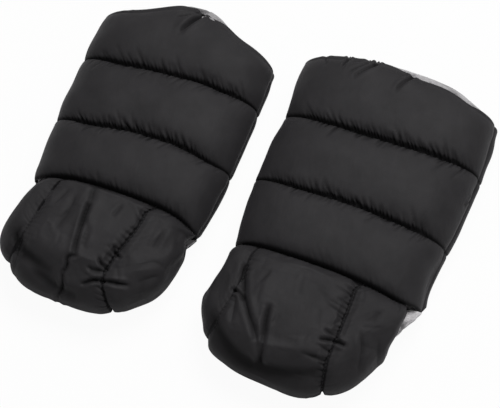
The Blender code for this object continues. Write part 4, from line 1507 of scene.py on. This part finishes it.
def raise_patch(share, along, point, seed):
    """Lifts a creased fold of the fleece into the slot. Gives the painted shade of its creases."""
    raised = smooth_step((share - PATCH_START) / 0.10) * smooth_step(along / 0.06)
    raised *= smooth_step((PATCH_END - along) / 0.16)
    point[..., 2] += PATCH_RISE * raised
    point[..., 0] += PATCH_REACH * raised * np.interp(along, *zip(*PATCH_REACHES))
    creased = rumple((share + 1) / 2, along, PATCH_CELLS, seed)
    creased -= hump((along - FOLD_PLACE) - FOLD_SLANT * (share - 0.9), FOLD_SPAN)
    point += np.stack((creased, 0 * creased, creased), -1) * PATCH_FOLD * raised[..., None]
    # Painted shade in the creases of the raised fold.
    return np.clip(-creased, 0, 1) * raised * PATCH_SHADE


def flap_lining(muff, seed):
    """The fleece on the flap's hand side, loose enough to show folds at the slot."""
    share, along, point = flap_sheet(muff)
    wave = FLEECE_WAVE * rumple((share + 1) / 2, along, FLEECE_CELLS, seed)
    wave *= np.where(along < 0.55, 1, 0.2)
    crumple = CRUMPLE_HEIGHT * rumple((share + 1) / 2, along, CRUMPLE_CELLS, seed + 1)
    crumple *= smooth_step((np.abs(share) - 0.7) / 0.2)
    point[..., 2] += (wave + crumple) * (1 - share**10) * smooth_step(along / 0.1)
    painted_fleece_shade = np.zeros_like(along)
    if muff.side == "right":
        painted_fleece_shade = raise_patch(share, along, point, seed + 2)
    width = TOE_SEAM_WIDTH * muff.size
    length = FLAP_LENGTH * muff.size
    flat = np.stack(((share + 1) / 2 * width, along * length), -1)
    below = point - np.array((0, 0, LINING_THICKNESS))
    piece = closed_pad(f"{muff.side}_flap_fleece", point, below, flat, LINING, painted_fleece_shade)
    return piece


for muff in MUFFS.values():
    flap = flap_pad(muff, 301 + muff.seed_step)
    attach(flap, muff.side + "_flap")
    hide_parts(muff.side + "_flap_shell", muff.side + "_flap_wadding")
    fleece_side = flap_lining(muff, 311 + muff.seed_step)
    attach(fleece_side, muff.side + "_flap")
    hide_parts(muff.side + "_flap_lining")

# %% [markdown]
# ## Stitches
# Every quilt line and dart is a row of lockstitches in black thread, pulled down into the cloth.
# They lie deep in the creases and are hardly seen, but they hold the padding. There are hundreds,
# so each is a ball of twenty faces, drawn out along the seam.

# %% Stitches
STITCH_LENGTH = 2.7 * MM
STITCH_PITCH = 3.3 * MM
THREAD_RADIUS = 0.32 * MM


def stitch_row(bm, line):
    """Adds stitches along a line of points."""
    steps = np.concatenate(([0], np.cumsum(np.linalg.norm(np.diff(line, axis=0), axis=1))))
    middles = np.arange(STITCH_PITCH, steps[-1] - STITCH_PITCH / 2, STITCH_PITCH)
    for middle in middles:
        start, centre, end = (
            Vector([np.interp(middle + off, steps, line[:, axis]) for axis in range(3)])
            for off in (-STITCH_LENGTH / 2, 0, STITCH_LENGTH / 2)
        )
        turn = (end - start).to_track_quat("Y", "Z").to_matrix().to_4x4()
        stretch = Matrix.Diagonal((THREAD_RADIUS, STITCH_LENGTH / 2, THREAD_RADIUS, 1))
        bmesh.ops.create_icosphere(
            bm, subdivisions=1, radius=1, matrix=Matrix.Translation(centre) @ turn @ stretch
        )
    return len(middles)


for side, lines in sewn_lines.items():
    bm = bmesh.new()
    count = sum(stitch_row(bm, line) for line in lines)
    stitches = finished(side + "_stitches", bm, THREAD)
    print(side, "muff has", count, "stitches")
    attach(stitches, side + "_muff")

# %% [markdown]
# ## Press studs
# Each stud is a cap and a socket on the flap, and a stud and a post on the toe's hem. They are
# turned parts, so each is a profile that spins round its own axis.

# %% Turned parts
SPIN_STEPS = 32
POLE_MERGE = 0.01 * MM


def turned(name, profile, low, high):
    """A turned piece on the axis of a box. Its profile gives shares of the radius and height."""
    middle = (low + high) / 2
    radius = (high.x - low.x) / 2
    bm = bmesh.new()
    ring = [bm.verts.new((share * radius, 0, mix(low.z, high.z, level))) for share, level in profile]
    edges = [bm.edges.new(pair) for pair in zip(ring, ring[1:])]
    bmesh.ops.spin(
        bm, geom=ring + edges, cent=(0, 0, 0), axis=(0, 0, 1), angle=2 * math.pi,
        steps=SPIN_STEPS, use_merge=True,
    )
    bmesh.ops.remove_doubles(bm, verts=bm.verts, dist=POLE_MERGE)
    bmesh.ops.recalc_face_normals(bm, faces=bm.faces)
    bmesh.ops.translate(bm, vec=(middle.x, middle.y, 0), verts=bm.verts)
    return finished(name, bm, LACQUER)


# %% Press studs
STUD_PROFILES = {
    "cap": (
        (0, 0), (0.35, 0.02), (0.62, 0.08), (0.82, 0.18), (0.95, 0.32), (1, 0.42), (0.99, 0.50),
        (0.93, 0.53), (0.22, 0.53), (0.22, 0.97), (0.35, 0.97), (0.35, 1), (0, 1),
    ),
    "socket": (
        (0.50, 0.97), (0.54, 1.0), (0.82, 1.0), (0.87, 0.94), (0.93, 0.6), (1, 0.28), (1, 0.05),
        (0.97, 0), (0.32, 0), (0.32, 0.27), (0.47, 0.27), (0.46, 0.6), (0.50, 0.97),
    ),
    "stud": (
        (0, 0), (0.40, 0), (0.47, 0.10), (0.50, 0.28), (0.45, 0.52), (0.46, 0.61), (0.94, 0.61),
        (1, 0.68), (1, 0.94), (0.96, 1), (0.3, 1), (0.3, 0.8), (0, 0.8),
    ),
    "post": (
        (0, 1), (0.5, 0.99), (0.8, 0.97), (0.96, 0.93), (1, 0.88), (1, 0.84), (0.3, 0.84), (0.3, 0),
        (0, 0),
    ),
}
for side in SIDES:
    for number in (1, 2):
        for kind, profile in STUD_PROFILES.items():
            node = f"{side}_snap_{kind}_{number}"
            piece = turned(f"{side}_press_{kind}_{number}", profile, *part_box(node))
            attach(piece, side + ("_flap" if kind in ("cap", "socket") else "_muff"))
            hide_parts(node)

# %% [markdown]
# ## Stage and light
# The photograph has a plain white ground and soft light from all sides, stronger from above and
# behind. The floor is white to the camera and keeps a faint shadow.

# %% White floor
scene = bpy.context.scene
scene.view_settings.view_transform = "Standard"
WHITE = (1, 1, 1, 1)
FLOOR_SIZE = 6.0
FLOOR_DEPTH = 0.2 * MM
PAPER_WHITE = (0.9, 0.9, 0.9, 1)
PAPER_ROUGHNESS = 0.9
FLOOR_GLOW = 0.95

paper_material = bpy.data.materials.new("white_paper")
paper = Finish(paper_material)
paper.set(base_color=PAPER_WHITE, roughness=PAPER_ROUGHNESS)
lit = Shade(paper, paper.shader.outputs[0])
seen = paper.node("ShaderNodeLightPath", out="Is Camera Ray")
glow = paper.node("ShaderNodeEmission", {}, {"Color": WHITE, "Strength": 1.0})
blend = paper.node("ShaderNodeMixShader", {}, {0: seen * FLOOR_GLOW, 1: lit, 2: glow})
paper.feed(paper.tree.nodes["Material Output"].inputs["Surface"], blend)

bm = bmesh.new()
bmesh.ops.create_grid(bm, x_segments=1, y_segments=1, size=FLOOR_SIZE / 2)
bmesh.ops.translate(bm, vec=(0, 0, -FLOOR_DEPTH), verts=bm.verts)
floor = finished("floor", bm, paper_material)

# %% Light
ROOM_LIGHT = 0.24
LAMP_PLACE = Vector((0.3, 1.1, 2.3))
LAMP_WIDTH = 1.6
LAMP_POWER = 48

world = bpy.data.worlds.new("white_room")
scene.world = world
room = Finish(world, "Background")
camera_ray = room.node("ShaderNodeLightPath", out="Is Camera Ray")
brightness = {"Value": camera_ray, "To Min": ROOM_LIGHT, "To Max": 1.0}
room.set(color=WHITE, strength=room.node("ShaderNodeMapRange", {}, brightness))

light = bpy.data.lights.new("softbox_above", "AREA")
light.shape = "DISK"
light.size = LAMP_WIDTH
light.energy = LAMP_POWER
lamp = bpy.data.objects.new("softbox_above", light)
lamp.location = LAMP_PLACE
lamp.rotation_euler = (-LAMP_PLACE).to_track_quat("-Z", "Y").to_euler()
scene.collection.objects.link(lamp)
print("lamp", round(LAMP_PLACE.length, 2), "m away, room light", ROOM_LIGHT)
